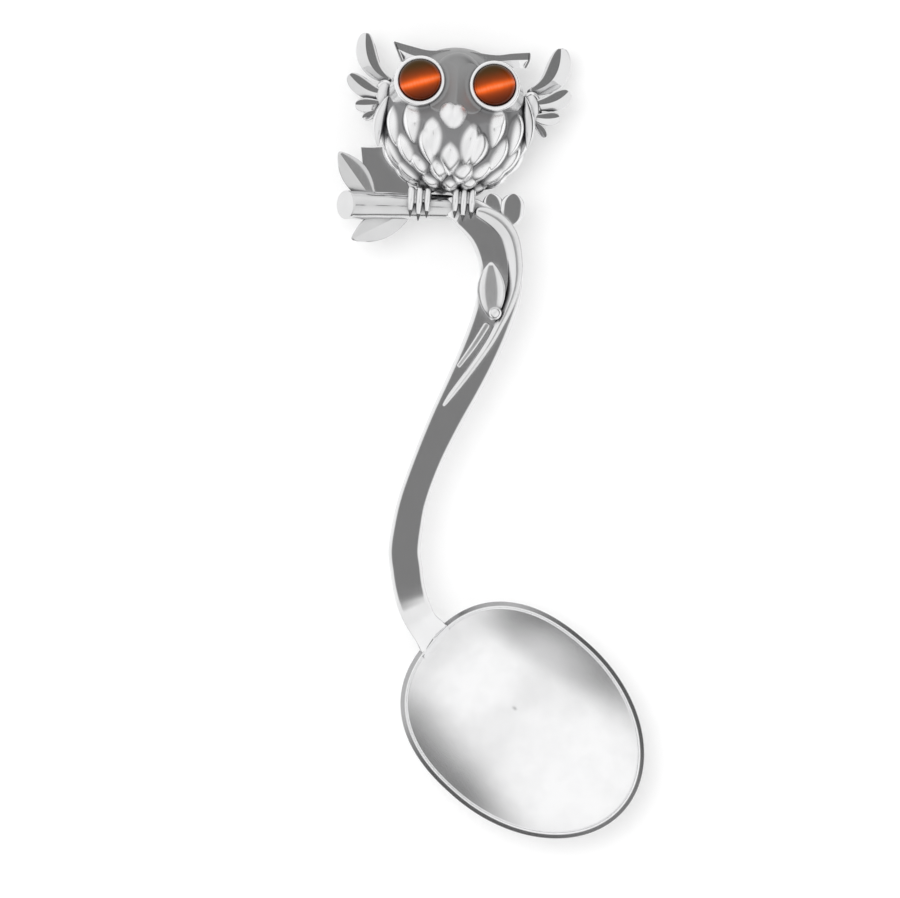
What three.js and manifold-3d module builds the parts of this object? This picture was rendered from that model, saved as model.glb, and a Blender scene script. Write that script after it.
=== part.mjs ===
// Silver feeding spoon: an oval bowl, an S-curved stem with a vine on it, a perch branch with leaves,
// and an owl on the branch whose eyes are round cabochons in bezel cups.
// Millimetres. The spoon lies on its back: +Z points out of the bowl, +Y runs from the bowl to the owl.
// The origin is the middle of the flat foot under the bowl.
import * as THREE from "three";
import { mergeVertices } from "three/addons/utils/BufferGeometryUtils.js";
import Module from "manifold-3d";

const wasm = await Module();
wasm.setup();

// Clearance left for solder between two pieces of silver, and for cement under a stone
const SOLDER_GAP = 0.2;

// Bowl: egg-shaped in plan and turned from +X; the half towards the stem is blunter, and the foot is flat
const BOWL_FAR = 20.15;
const BOWL_NEAR = 17.9;
const BOWL_WIDTH = 29.9;
const BOWL_BLUNT = 2.4;
const BOWL_HEIGHT = 9.5;
const BOWL_WALL = 0.9;
const BOWL_TURN = -41.35;
const BOWL_STEEPNESS = 2.7;
const FOOT_LENGTH = 9.1;
const RIM_ROUND = 0.25;
const NECK_SHIFT = 0.5;

// Stem: its length along Y from the neck at the rim to the branch.
const STEM_LENGTH = 62.74;
// Each row is a point of the stem's centre line, from inside the bowl to the branch: x from the neck,
// share of the stem's length, z from the top of the rim, then width and thickness.
const STEM_ROUTE = [
  [1.7, -0.0446, -2.0, 5.6, 2.2],
  [0, 0, -1.3, 4.9, 2.5],
  [-1.46, 0.0351, -0.65, 4.6, 2.6],
  [-2.74, 0.0813, 0.1, 4.7, 2.7],
  [-3.5, 0.1403, 0.5, 4.8, 2.8],
  [-3.9, 0.1976, 0.6, 4.75, 2.8],
  [-3.45, 0.2566, 0.6, 4.6, 2.8],
  [-2.7, 0.314, 0.6, 4.4, 2.8],
  [-0.6, 0.408, 0.6, 4.4, 2.8],
  [2.0, 0.5005, 0.6, 4.9, 2.8],
  [5.0, 0.5945, 0.6, 5.5, 2.8],
  [7.1, 0.6646, 0.6, 5.8, 2.8],
  [8.85, 0.7348, 0.6, 6.1, 2.8],
  [9.9, 0.7922, 0.6, 6.4, 2.8],
  [10.2, 0.8511, 0.6, 6.3, 2.8],
  [9.6, 0.9021, 0.6, 6.3, 2.8],
  [8.2, 0.9452, 0.6, 6.0, 2.8],
  [6.2, 0.9755, 0.5, 5.4, 3.0],
  [4.4, 0.993, 0.35, 4.7, 3.3],
  [3.1, 0.9994, 0.3, 4.0, 3.4],
  [2.2, 1, 0.3, 3.7, 3.4],
];
const STEM_BEVEL = 0.75;

// Vine on the stem: share of the stem's length, offset towards the bend's inside, and radius
const VINE_ROUTE = [
  [0.94, -3.2, 0.9],
  [0.92, -3.1, 1.25],
  [0.9, -2.8, 1.4],
  [0.875, -2.45, 1.35],
  [0.85, -2.25, 1.25],
  [0.82, -2.1, 1.15],
  [0.79, -1.95, 1.0],
  [0.753, -1.55, 0.85],
  [0.712, -1.15, 0.7],
  [0.676, -0.8, 0.62],
  [0.61, 0.1, 0.52],
  [0.546, 1.0, 0.42],
  [0.522, 1.28, 0.25],
];
const VINE_LIFT = 0.1;

// Leaf stalk: a thin ridge from the leaf's foot to the stem's edge, given as the vine is
const STALK_ROUTE = [
  [0.71, 0.4, 0.5],
  [0.66, 1.1, 0.45],
  [0.605, 1.9, 0.3],
];

// Leaf on the stem, given as the vine is but without a radius: root, middle and tip
const STEM_LEAF_ROUTE = [
  [0.718, -0.1],
  [0.776, 1.35],
  [0.838, 1.3],
];
const STEM_LEAF_WIDTH = 4.1;
const STEM_LEAF_THICK = 1.0;
const STEM_LEAF_CUP = 0.75;
const BUD_RADIUS = 0.95;
const BUD_PLACE = [0.733, -0.1];

// Twig stub beside the bend of the stem: root and end given as the leaf is, and depth below the front
const STUB_ROUTE = [
  [0.887, -3.3],
  [0.913, -5.9],
];
const STUB_SINK = 1.3;
const STUB_RADIUS = 1.3;

// Perch branch: carries on from the stem's end to a slanting cut
const BRANCH_LENGTH = 14.7;
const BRANCH_CUT_RADIUS = 2.1;
const BRANCH_ROOT_RADIUS = 1.8;
const BRANCH_CUT_SLANT = 32;

// Leaves on the branch: root along the branch, then the tip from the root
const UPPER_LEAF_ROOT = 10.2;
const UPPER_LEAF_TIP = [-5.7, 7.7, 0.6];
const UPPER_LEAF_WIDTH = 3.9;
const LOWER_LEAF_ROOT = 4.2;
const LOWER_LEAF_TIP = [-9.5, -5.0, -0.6];
const LOWER_LEAF_WIDTH = 4.2;
const LEAF_THICK = 0.9;
const LEAF_FOLD = 0.7;

// Broad leaf behind the branch, flat, with a squarely clipped tip
const REAR_LEAF_ROOT = [3.2, 11.6];
const REAR_LEAF_TIP = [8.8, 12.8];
const REAR_LEAF_HEIGHT = 8.6;
const REAR_LEAF_THICK = 0.9;
const REAR_LEAF_BACK = 3.0;

// Owl: body core, its lean back and its roll to the right
const OWL_WIDTH = 21.2;
const OWL_HEIGHT = 20.4;
const OWL_DEPTH = 17.2;
const OWL_LEAN = 12;
const OWL_ROLL = 4;
const OWL_ALONG = 1.2;
const OWL_SEAT_GAP = 0.3;
const BACK_FLAT = 0.6;

// Breast feathers: latitude of the row, feathers round the body, turn of the first, length and width
const FEATHER_ROWS = [
  [6, 13, 0.5, 5.4, 4.4],
  [-16, 13, 0, 5.4, 4.3],
  [-36, 11, 0.5, 5.0, 4.0],
  [-55, 8, 0, 3.8, 3.4],
];
const FEATHER_RISE = 1.0;
const FEATHER_CROWN = 0.35;
const FEATHER_DEPTH = 1.2;
const FEATHER_STEPS = 5;

// Places on the owl from here on are shares of its half width, half height and half depth.
// Eyes: middle of the bezel's seat, outward splay, bezel cup and stone
const EYE_PLACE = [0.49, 0.475, 0.52];
const EYE_SPLAY = 6;
const STONE_DIAMETER = 6;
const STONE_HEIGHT = 2.5;
const STONE_GIRDLE = 0.9;
const BEZEL_WALL = 0.55;
const BEZEL_FLARE = 0.6;
const BEZEL_FLOOR = 2.1;
const BEZEL_LIP = 0.9;

// Crown of the head: how far its middle is lifted, its top rises over the body and its sides lie inside it
const CROWN_LIFT = 5.4;
const CROWN_RISE = 1.05;
const CROWN_SIDE_INSET = 3.2;
const CROWN_DEPTH_INSET = 2;

// Ear tufts on the crown, and the bridge between the eyes
const TUFT_ROOT = [0.3, 0.84, 0.33];
const TUFT_TIP = [0.93, 0.98, 0.36];
const TUFT_WIDTH = 2.5;
const TUFT_THICK = 1.1;
const TUFT_CUP = 0.6;
const BRIDGE_TOP = [0, 0.94, 0.51];
const BRIDGE_FOOT = [0, 0.13, 1.07];
const BRIDGE_BOW = 1.6;
const BRIDGE_WIDTH = 3.4;
const BRIDGE_THICK = 1.8;

// Beak
const BEAK_ROOT = [0, 0.2, 1.0];
const BEAK_TIP = [0, -0.27, 1.1];
const BEAK_BOW = 1.2;
const BEAK_WIDTH = 3.7;
const BEAK_THICK = 2.8;

// Wing feathers: root, the bend they pass, tip, and width in millimetres, from the top down
const LEFT_WING = [
  [[-0.85, 0.49, -0.05], [-1.38, 0.55, 0.02], [-1.29, 1.2, 0.12], 3.6],
  [[-0.87, 0.38, 0.05], [-1.23, 0.38, 0.12], [-1.52, 0.52, 0.19], 2.6],
  [[-0.89, 0.25, 0.02], [-1.19, 0.19, 0.07], [-1.38, 0.15, 0.12], 2.0],
  [[-0.89, 0.15, -0.05], [-1.09, 0.07, -0.02], [-1.28, 0, 0], 1.8],
];
const RIGHT_WING = [
  [[0.85, 0.48, -0.05], [1.4, 0.45, 0.02], [1.43, 1.14, 0.12], 3.9],
  [[0.87, 0.35, 0.05], [1.23, 0.31, 0.12], [1.56, 0.48, 0.19], 2.7],
  [[0.89, 0.24, 0.02], [1.19, 0.12, 0.07], [1.43, 0.14, 0.12], 2.1],
  [[0.89, 0.13, -0.05], [1.09, -0.02, -0.02], [1.29, -0.08, 0], 1.8],
];
const WING_THICK = 1.15;
const WING_CUP = 0.45;
const COVERT_ROOT = [0.84, 0.41, 0.23];
const COVERT_BEND = [1.19, 0.04, 0.3];
const COVERT_TIP = [1.06, -0.31, 0.26];
const COVERT_WIDTH = 2.6;
const COVERT_THICK = 1.4;
const SHOULDER_RADIUS = 1.8;
const SHOULDER_OUT = 0.28;

// Feet: three toes each, curled over the front of the branch
const FOOT_PLACES = [-4.0, 2.5];
const TOE_SPREAD = 1.2;
const TOE_RADIUS = 0.5;
const TOE_REACH = [1.6, 2.3, 1.6];
const ANKLE_RADIUS = 0.75;

const silver = new THREE.MeshStandardMaterial({ color: 0xc9cacc, roughness: 0.14, metalness: 1 });
const catEyeStone = new THREE.MeshStandardMaterial({ color: 0x7a2607, roughness: 0.12, metalness: 0 });

const UP = new THREE.Vector3(0, 0, 1);
const vec = ([x, y, z = 0]) => new THREE.Vector3(x, y, z);
const radians = THREE.MathUtils.degToRad;

// A closed surface through rings of points; each ring runs anticlockwise seen from the ring after it
function loft(rings) {
  const count = rings[0].length;
  const points = rings.flat();
  const faces = [];
  for (let r = 0; r + 1 < rings.length; r++) {
    for (let k = 0; k < count; k++) {
      const next = (k + 1) % count;
      const [a, b] = [r * count + k, r * count + next];
      faces.push(a, b, a + count, b, b + count, a + count);
    }
  }
  const middle = (ring) => ring.reduce((sum, p) => sum.add(p), new THREE.Vector3()).divideScalar(count);
  const start = points.push(middle(rings[0])) - 1;
  const end = points.push(middle(rings[rings.length - 1])) - 1;
  const last = (rings.length - 1) * count;
  for (let k = 0; k < count; k++) {
    const next = (k + 1) % count;
    faces.push(start, next, k, end, last + k, last + next);
  }
  return new THREE.BufferGeometry().setFromPoints(points).setIndex(faces);
}

// A closed three.js geometry as a solid that can be joined and cut
function solidOf(geometry) {
  const bare = geometry.clone();
  bare.deleteAttribute("normal");
  bare.deleteAttribute("uv");
  const merged = mergeVertices(bare, 1e-4);
  const vertProperties = merged.attributes.position.array;
  const triVerts = new Uint32Array(merged.index.array);
  return new wasm.Manifold(new wasm.Mesh({ numProp: 3, vertProperties, triVerts }));
}

// Adds a solid to a group as a named mesh
function addPiece(group, name, solid, material) {
  const { vertProperties, triVerts } = solid.getMesh();
  const geometry = new THREE.BufferGeometry();
  geometry.setAttribute("position", new THREE.BufferAttribute(vertProperties, 3));
  geometry.setIndex(new THREE.BufferAttribute(triVerts, 1));
  geometry.computeVertexNormals();
  const mesh = new THREE.Mesh(geometry, material);
  mesh.name = name;
  group.add(mesh);
}

// A solid of one group's frame, given in another group's frame
function carried(solid, from, to) {
  from.updateWorldMatrix(true, false);
  to.updateWorldMatrix(true, false);
  return solid.transform(to.matrixWorld.clone().invert().multiply(from.matrixWorld).elements);
}

const joined = (solids) => solids.reduce((sum, next) => sum.add(next));
const cutBy = (solid, tools) => tools.reduce((rest, tool) => rest.subtract(tool), solid);

// Position, sideways and outward directions at a parameter of a curve
function frameOn(curve, at, facing) {
  const origin = curve.getPoint(at);
  const along = curve.getTangent(at);
  const side = facing.clone().cross(along).normalize();
  const out = along.clone().cross(side);
  return { origin, along, side, out };
}

const placed = ({ origin, side, out }, across, outward) =>
  origin.clone().addScaledVector(side, across).addScaledVector(out, outward);

// Sweeps a section that changes along a curve; sectionAt(share) lists [across, outward] points
function sweep(curve, steps, facing, sectionAt) {
  const rings = [];
  for (let i = 0; i <= steps; i++) {
    const frame = frameOn(curve, i / steps, facing);
    rings.push(sectionAt(i / steps).map(([across, outward]) => placed(frame, across, outward)));
  }
  return solidOf(loft(rings));
}

function ovalSection(halfWidth, halfThick, sides, cup = 0) {
  const section = [];
  for (let k = 0; k < sides; k++) {
    const angle = (2 * Math.PI * k) / sides;
    const across = Math.cos(angle);
    section.push([halfWidth * across, halfThick * Math.sin(angle) + cup * across * across]);
  }
  return section;
}

// A leaf or feather through a root, a bend and a tip. It is widest at the share "fullest",
// "cup" raises its edges, and a low "point" rounds its ends.
function blade(shape) {
  const { points, facing, width, thick } = shape;
  const { cup = 0, fullest = 0.5, point = 0.8, steps = 8, sides = 8 } = shape;
  const curve = new THREE.QuadraticBezierCurve3(...points);
  const skew = Math.log(0.5) / Math.log(fullest);
  const sectionAt = (share) => {
    const swell = 0.08 + 0.92 * Math.sin(Math.PI * share ** skew) ** point;
    return ovalSection((swell * width) / 2, (swell * thick) / 2, sides, cup * swell);
  };
  return sweep(curve, steps, facing, sectionAt);
}

// The middle point that bows a blade outwards from the straight line between its ends
const bowed = (root, tip, bow, direction) =>
  root.clone().lerp(tip, 0.5).addScaledVector(direction, bow);

// Frames of the assembly
const spoon = new THREE.Group();
const bowlFrame = new THREE.Group();
const handle = new THREE.Group();
const perch = new THREE.Group();
const owl = new THREE.Group();
spoon.add(bowlFrame, handle);
handle.add(perch);
spoon.add(owl);

// Bowl, in its own axes: its long axis runs along X, with the stem at the -X end
bowlFrame.rotation.z = radians(BOWL_TURN);
const bowlRing = (share, grow, z, sides = 48) => {
  const ring = [];
  for (let k = 0; k < sides; k++) {
    const angle = (2 * Math.PI * k) / sides;
    const [x, y] = [Math.cos(angle), Math.sin(angle)];
    const power = x < 0 ? 2 / BOWL_BLUNT : 1;
    const long = (x < 0 ? BOWL_NEAR : BOWL_FAR) * share + grow;
    const short = (BOWL_WIDTH / 2) * share + grow;
    const along = long * Math.sign(x) * Math.abs(x) ** power;
    ring.push(new THREE.Vector3(along, short * Math.sign(y) * Math.abs(y) ** power, z));
  }
  return ring;
};
const footShare = FOOT_LENGTH / (BOWL_NEAR + BOWL_FAR);
const HOLLOW_START = 0.1;
const sharesFrom = (start, steps) => {
  const shares = [];
  for (let i = 0; i <= steps; i++) {
    shares.push(THREE.MathUtils.lerp(start, 1, i / steps));
  }
  return shares;
};
const footRise = footShare ** BOWL_STEEPNESS;
const wallRise = (share) => (share ** BOWL_STEEPNESS - footRise) / (1 - footRise);
const WALL_STEPS = 8;

function bowlShell() {
  const wallTop = BOWL_HEIGHT - RIM_ROUND;
  const outer = sharesFrom(footShare, WALL_STEPS).map((s) => bowlRing(s, 0, wallRise(s) * wallTop));
  const inner = sharesFrom(HOLLOW_START, WALL_STEPS + 1).map((s) =>
    bowlRing(s, -BOWL_WALL * s, BOWL_WALL + s ** BOWL_STEEPNESS * (wallTop - BOWL_WALL)),
  );
  const rim = [bowlRing(1, -RIM_ROUND, BOWL_HEIGHT), bowlRing(1, RIM_ROUND - BOWL_WALL, BOWL_HEIGHT)];
  return solidOf(loft([...outer, ...rim, ...inner.reverse()]));
}

// The bowl filled up and raised past its rim, to cut back what meets its outside
function bowlFilled(grow) {
  const shares = sharesFrom(footShare, WALL_STEPS);
  const rings = shares.map((s) => bowlRing(s, grow, wallRise(s) * BOWL_HEIGHT - grow));
  return solidOf(loft([...rings, bowlRing(1, grow, 2 * BOWL_HEIGHT)]));
}

addPiece(bowlFrame, "bowl", bowlShell(), silver);

// Stem, in the handle's frame, whose origin is the neck on the rim
const neck = new THREE.Vector3(-BOWL_NEAR, NECK_SHIFT, BOWL_HEIGHT);
bowlFrame.updateMatrix();
handle.position.copy(neck.applyMatrix4(bowlFrame.matrix));

const stemCurve = new THREE.CatmullRomCurve3(STEM_ROUTE.map(([x, y, z]) => vec([x, y * STEM_LENGTH, z])));
const stemSizes = new THREE.CatmullRomCurve3(STEM_ROUTE.map((p) => vec([p[3], p[4]])));
const STEM_STEPS = 48;

function barSection(width, thick, bevel) {
  const [w, t] = [width / 2, thick / 2];
  const half = [[w, -t + bevel], [w, t - bevel], [w - bevel, t], [bevel - w, t]];
  return [...half, ...half.map(([across, outward]) => [-across, -outward])];
}

function stemBar(grow) {
  return sweep(stemCurve, STEM_STEPS, UP, (share) => {
    const size = stemSizes.getPoint(share);
    return barSection(size.x + 2 * grow, size.y + 2 * grow, STEM_BEVEL);
  });
}

// A point over the front of the stem, at a share of the stem's length
function onStem([share, across], lift) {
  const at = stemCurve.getUtoTmapping(share);
  return placed(frameOn(stemCurve, at, UP), across, stemSizes.getPoint(at).y / 2 + lift);
}

addPiece(handle, "stem", stemBar(0).subtract(carried(bowlFilled(SOLDER_GAP), bowlFrame, handle)), silver);

// Vine and leaf stalk: tapering strands half sunk in the front of the stem
function strand(route, lift, steps, sides, grow) {
  const curve = new THREE.CatmullRomCurve3(route.map((p) => onStem(p, lift)));
  const radii = new THREE.CatmullRomCurve3(route.map((p) => vec([p[2], 0])));
  return sweep(curve, steps, UP, (share) => {
    const radius = radii.getPoint(share).x + grow;
    return ovalSection(radius, radius, sides);
  });
}
const vine = (grow) => strand(VINE_ROUTE, VINE_LIFT, 36, 10, grow);
const stalk = (grow) => strand(STALK_ROUTE, VINE_LIFT, 10, 8, grow);

// Leaf on the stem, lying on its front
function stemLeaf(grow) {
  const lift = STEM_LEAF_THICK / 2 + SOLDER_GAP;
  return blade({
    points: STEM_LEAF_ROUTE.map((p) => onStem(p, lift)),
    facing: UP,
    width: STEM_LEAF_WIDTH + 2 * grow,
    thick: STEM_LEAF_THICK + 2 * grow,
    cup: STEM_LEAF_CUP,
    steps: 12,
    sides: 12,
  });
}

function bud(grow) {
  const ball = new THREE.SphereGeometry(BUD_RADIUS + grow, 16, 12);
  const at = onStem(BUD_PLACE, STEM_LEAF_THICK + BUD_RADIUS / 2);
  return solidOf(ball.translate(at.x, at.y, at.z));
}

// Twig stub: a short rod with a domed end, springing from the outside of the bend
function twigStub() {
  const curve = new THREE.LineCurve3(...STUB_ROUTE.map((p) => onStem(p, -STUB_SINK)));
  return sweep(curve, 8, UP, (share) => {
    const dome = Math.sqrt(1 - Math.max(0, (share - 0.7) / 0.34) ** 2);
    return ovalSection(STUB_RADIUS * dome, STUB_RADIUS * dome, 12);
  });
}

const stemGrown = stemBar(SOLDER_GAP);
addPiece(handle, "vine", vine(0).subtract(stemGrown), silver);
addPiece(handle, "stem_leaf", cutBy(stemLeaf(0), [stemGrown, vine(SOLDER_GAP)]), silver);
addPiece(handle, "bud", cutBy(bud(0), [stemGrown, stemLeaf(SOLDER_GAP), vine(SOLDER_GAP)]), silver);
const stalkNeighbours = [stemGrown, vine(SOLDER_GAP), stemLeaf(SOLDER_GAP), bud(SOLDER_GAP)];
addPiece(handle, "leaf_stalk", cutBy(stalk(0), stalkNeighbours), silver);
addPiece(handle, "twig_stub", cutBy(twigStub(), [stemGrown, vine(SOLDER_GAP)]), silver);

// Perch branch, in a frame at the stem's end, running towards -X
const stemEnd = frameOn(stemCurve, 1, UP);
perch.position.copy(stemEnd.origin);
perch.rotation.z = Math.atan2(-stemEnd.along.y, -stemEnd.along.x);
const branchRadius = (along) =>
  THREE.MathUtils.lerp(BRANCH_ROOT_RADIUS, BRANCH_CUT_RADIUS, along / BRANCH_LENGTH);

function branch(grow) {
  const slant = Math.tan(radians(BRANCH_CUT_SLANT));
  const stations = [SOLDER_GAP - grow, BRANCH_LENGTH / 3, (BRANCH_LENGTH * 2) / 3, BRANCH_LENGTH + grow];
  const rings = stations.map((along, i) => {
    const radius = branchRadius(along) + grow;
    const lean = i === stations.length - 1 ? slant : 0;
    return ovalSection(radius, radius, 16).map(([y, z]) => new THREE.Vector3(lean * z - along, -y, z));
  });
  return solidOf(loft(rings));
}

const onBranch = (along) => new THREE.Vector3(-along, 0, 0);

function branchLeaf(along, tipOffset, width) {
  const root = onBranch(along);
  const tip = root.clone().add(vec(tipOffset));
  return blade({
    points: [root, bowed(root, tip, LEAF_FOLD, UP), tip],
    facing: UP,
    width,
    thick: LEAF_THICK,
    cup: LEAF_FOLD,
    fullest: 0.55,
    steps: 10,
    sides: 10,
  });
}

function rearLeaf(grow) {
  const outline = new THREE.Shape();
  outline.moveTo(-REAR_LEAF_ROOT[0] + grow, -grow);
  outline.lineTo(-REAR_LEAF_TIP[0] + grow, REAR_LEAF_HEIGHT + grow);
  outline.lineTo(-REAR_LEAF_TIP[1] - grow, REAR_LEAF_HEIGHT + grow);
  outline.lineTo(-REAR_LEAF_ROOT[1] - grow, -grow);
  outline.closePath();
  const depth = REAR_LEAF_THICK + 2 * grow;
  const plate = new THREE.ExtrudeGeometry(outline, { depth, bevelEnabled: false, curveSegments: 1 });
  return solidOf(plate.translate(0, 0, -REAR_LEAF_BACK - depth / 2));
}

// The owl stands on the branch, with its back filed flat at the level of the bowl's foot
perch.updateWorldMatrix(true, false);
const seat = new THREE.Vector3(OWL_ALONG, 0, 0).applyMatrix4(perch.matrixWorld);
const [bodyA, bodyB, bodyC] = [OWL_WIDTH / 2, OWL_HEIGHT / 2, OWL_DEPTH / 2];
const lean = radians(OWL_LEAN);
const halfReach = Math.hypot(bodyC * Math.cos(lean), bodyB * Math.sin(lean));
const seatRadius = BRANCH_ROOT_RADIUS;
owl.position.set(seat.x, seat.y + bodyB + seatRadius + OWL_SEAT_GAP, halfReach - BACK_FLAT);
owl.rotation.set(-lean, 0, -radians(OWL_ROLL), "ZXY");

// A place given in shares of the owl's half sizes
const onOwl = ([x, y, z], sign = 1) => new THREE.Vector3(sign * x * bodyA, y * bodyB, z * bodyC);

const woodForOwl = carried(branch(SOLDER_GAP), perch, owl)
  .add(carried(stemGrown, handle, owl))
  .add(carried(vine(SOLDER_GAP), handle, owl));
const tableSides = [4 * OWL_WIDTH, 4 * OWL_HEIGHT, OWL_DEPTH];
const tableBox = new THREE.BoxGeometry(...tableSides);
tableBox.translate(owl.position.x, owl.position.y, -OWL_DEPTH / 2);
const belowTable = carried(solidOf(tableBox), spoon, owl);

function ellipsoid(centre, radii, grow, columns, rows) {
  const ball = new THREE.SphereGeometry(1, columns, rows);
  ball.scale(radii[0] + grow, radii[1] + grow, radii[2] + grow);
  return solidOf(ball.translate(...centre));
}
const bodyCore = (grow) => ellipsoid([0, 0, 0], [bodyA, bodyB, bodyC], grow, 36, 22);
const core = bodyCore(SOLDER_GAP);

// A point of the body's surface with its outward direction
function onBody(latitude, longitude) {
  const flat = Math.cos(radians(latitude));
  const [lat, lon] = [radians(latitude), radians(longitude)];
  const way = new THREE.Vector3(flat * Math.sin(lon), Math.sin(lat), flat * Math.cos(lon));
  const out = new THREE.Vector3(way.x / bodyA, way.y / bodyB, way.z / bodyC).normalize();
  const side = new THREE.Vector3(Math.cos(lon), 0, -Math.sin(lon));
  return { origin: way.multiply(vec([bodyA, bodyB, bodyC])), side, out };
}

// A feather lies on the body along a meridian; its sides go down into the body and its tip stands proud
function bodyFeather(latitude, longitude, length, width) {
  const drop = THREE.MathUtils.radToDeg(length / bodyB);
  const rings = [];
  for (let i = 0; i <= FEATHER_STEPS; i++) {
    const share = i / FEATHER_STEPS;
    const frame = onBody(latitude - drop * share, longitude);
    const half = (width / 2) * (0.1 + 0.9 * Math.sqrt(1 - share ** 2.4));
    const edge = FEATHER_RISE * share - FEATHER_CROWN;
    const section = [
      [half, -FEATHER_DEPTH],
      [half, edge],
      [0, edge + FEATHER_CROWN],
      [-half, edge],
      [-half, -FEATHER_DEPTH],
    ];
    rings.push(section.map(([across, outward]) => placed(frame, across, outward)));
  }
  return solidOf(loft(rings));
}

function bodyFeathers() {
  const feathers = [];
  for (const [latitude, count, turn, length, width] of FEATHER_ROWS) {
    for (let k = 0; k < count; k++) {
      feathers.push(bodyFeather(latitude, (360 / count) * (k + turn), length, width));
    }
  }
  return joined(feathers);
}

// Eye frames: +Z along the eye's axis, at the bottom of the bezel's seat in the head
const SIDES = { left: -1, right: 1 };
function eyeFrame(sign) {
  const frame = new THREE.Group();
  frame.position.copy(onOwl(EYE_PLACE, sign));
  frame.rotation.y = sign * radians(EYE_SPLAY);
  owl.add(frame);
  return frame;
}
const eyes = { left: eyeFrame(SIDES.left), right: eyeFrame(SIDES.right) };

function lathed(profile) {
  const outline = profile.map(([radius, height]) => new THREE.Vector2(radius, height));
  return solidOf(new THREE.LatheGeometry(outline, 28).rotateX(Math.PI / 2));
}
const stoneRadius = STONE_DIAMETER / 2;
const lipRadius = stoneRadius + SOLDER_GAP + BEZEL_WALL;
const bezelHeight = BEZEL_FLOOR + SOLDER_GAP + BEZEL_LIP;

// Bezel cup, lathed about its axis: a flared collar with a recess for the stone
function bezelCup() {
  const recess = stoneRadius + SOLDER_GAP;
  return lathed([
    [0, 0],
    [lipRadius + BEZEL_FLARE, 0],
    [lipRadius, bezelHeight],
    [recess, bezelHeight],
    [recess, BEZEL_FLOOR],
    [0, BEZEL_FLOOR],
  ]);
}

// The room that a bezel cup and its stone take in the pieces around them
function bezelRoom(grow) {
  const top = bezelHeight + STONE_HEIGHT;
  const profile = [[0, -grow], [lipRadius + BEZEL_FLARE + grow, -grow], [lipRadius + grow, bezelHeight]];
  return lathed([...profile, [lipRadius + grow, top], [0, top]]);
}

function cabochon() {
  const base = BEZEL_FLOOR + SOLDER_GAP;
  const profile = [[0, base], [stoneRadius, base]];
  for (let k = 0; k < 8; k++) {
    const angle = (Math.PI / 2) * (k / 8);
    const rise = base + STONE_GIRDLE + (STONE_HEIGHT - STONE_GIRDLE) * Math.sin(angle);
    profile.push([stoneRadius * Math.cos(angle), rise]);
  }
  return lathed([...profile, [0, base + STONE_HEIGHT]]);
}

const eyeRoom = joined(Object.values(eyes).map((eye) => carried(bezelRoom(SOLDER_GAP), eye, owl)));

const FORWARD = new THREE.Vector3(0, 0, 1);

// Crown: a cap on the head, an ear tuft on each side and the bridge down to the beak
function crown(grow) {
  const tufts = Object.values(SIDES).map((sign) => {
    const [root, tip] = [onOwl(TUFT_ROOT, sign), onOwl(TUFT_TIP, sign)];
    return blade({
      points: [root, bowed(root, tip, TUFT_CUP, FORWARD), tip],
      facing: FORWARD,
      width: TUFT_WIDTH + 2 * grow,
      thick: TUFT_THICK + 2 * grow,
      cup: TUFT_CUP,
      fullest: 0.68,
      point: 0.6,
    });
  });
  const [top, foot] = [onOwl(BRIDGE_TOP), onOwl(BRIDGE_FOOT)];
  const bridge = blade({
    points: [top, bowed(top, foot, BRIDGE_BOW, FORWARD), foot],
    facing: FORWARD,
    width: BRIDGE_WIDTH + 2 * grow,
    thick: BRIDGE_THICK + 2 * grow,
  });
  const capRadii = [bodyA - CROWN_SIDE_INSET, bodyB - CROWN_LIFT + CROWN_RISE, bodyC - CROWN_DEPTH_INSET];
  const cap = ellipsoid([0, CROWN_LIFT, 0], capRadii, grow, 24, 16);
  return joined([cap, ...tufts, bridge]);
}

function beak(grow) {
  const [root, tip] = [onOwl(BEAK_ROOT), onOwl(BEAK_TIP)];
  return blade({
    points: [root, bowed(root, tip, BEAK_BOW, FORWARD), tip],
    facing: FORWARD,
    width: BEAK_WIDTH + 2 * grow,
    thick: BEAK_THICK + 2 * grow,
    fullest: 0.55,
    point: 0.5,
    steps: 10,
    sides: 12,
  });
}

// Wing: a fan of feathers and a covert feather, joined by a rounded shoulder
function wing(feathers, sign, grow) {
  const fan = feathers.map(([root, bend, tip, width]) =>
    blade({
      points: [root, bend, tip].map((p) => onOwl(p)),
      facing: FORWARD,
      width: width + 2 * grow,
      thick: WING_THICK + 2 * grow,
      cup: WING_CUP,
      fullest: 0.62,
      steps: 9,
      sides: 10,
    }),
  );
  const covert = blade({
    points: [COVERT_ROOT, COVERT_BEND, COVERT_TIP].map((p) => onOwl(p, sign)),
    facing: new THREE.Vector3(sign, 0, 1).normalize(),
    width: COVERT_WIDTH + 2 * grow,
    thick: COVERT_THICK + 2 * grow,
    steps: 9,
    sides: 10,
  });
  const shoulder = new THREE.Vector3();
  for (const [root, bend] of feathers) {
    shoulder.addScaledVector(onOwl(root).lerp(onOwl(bend), SHOULDER_OUT), 1 / feathers.length);
  }
  const radii = [SHOULDER_RADIUS, SHOULDER_RADIUS * 1.6, SHOULDER_RADIUS];
  return joined([ellipsoid(shoulder.toArray(), radii, grow, 16, 12), ...fan, covert]);
}

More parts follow.
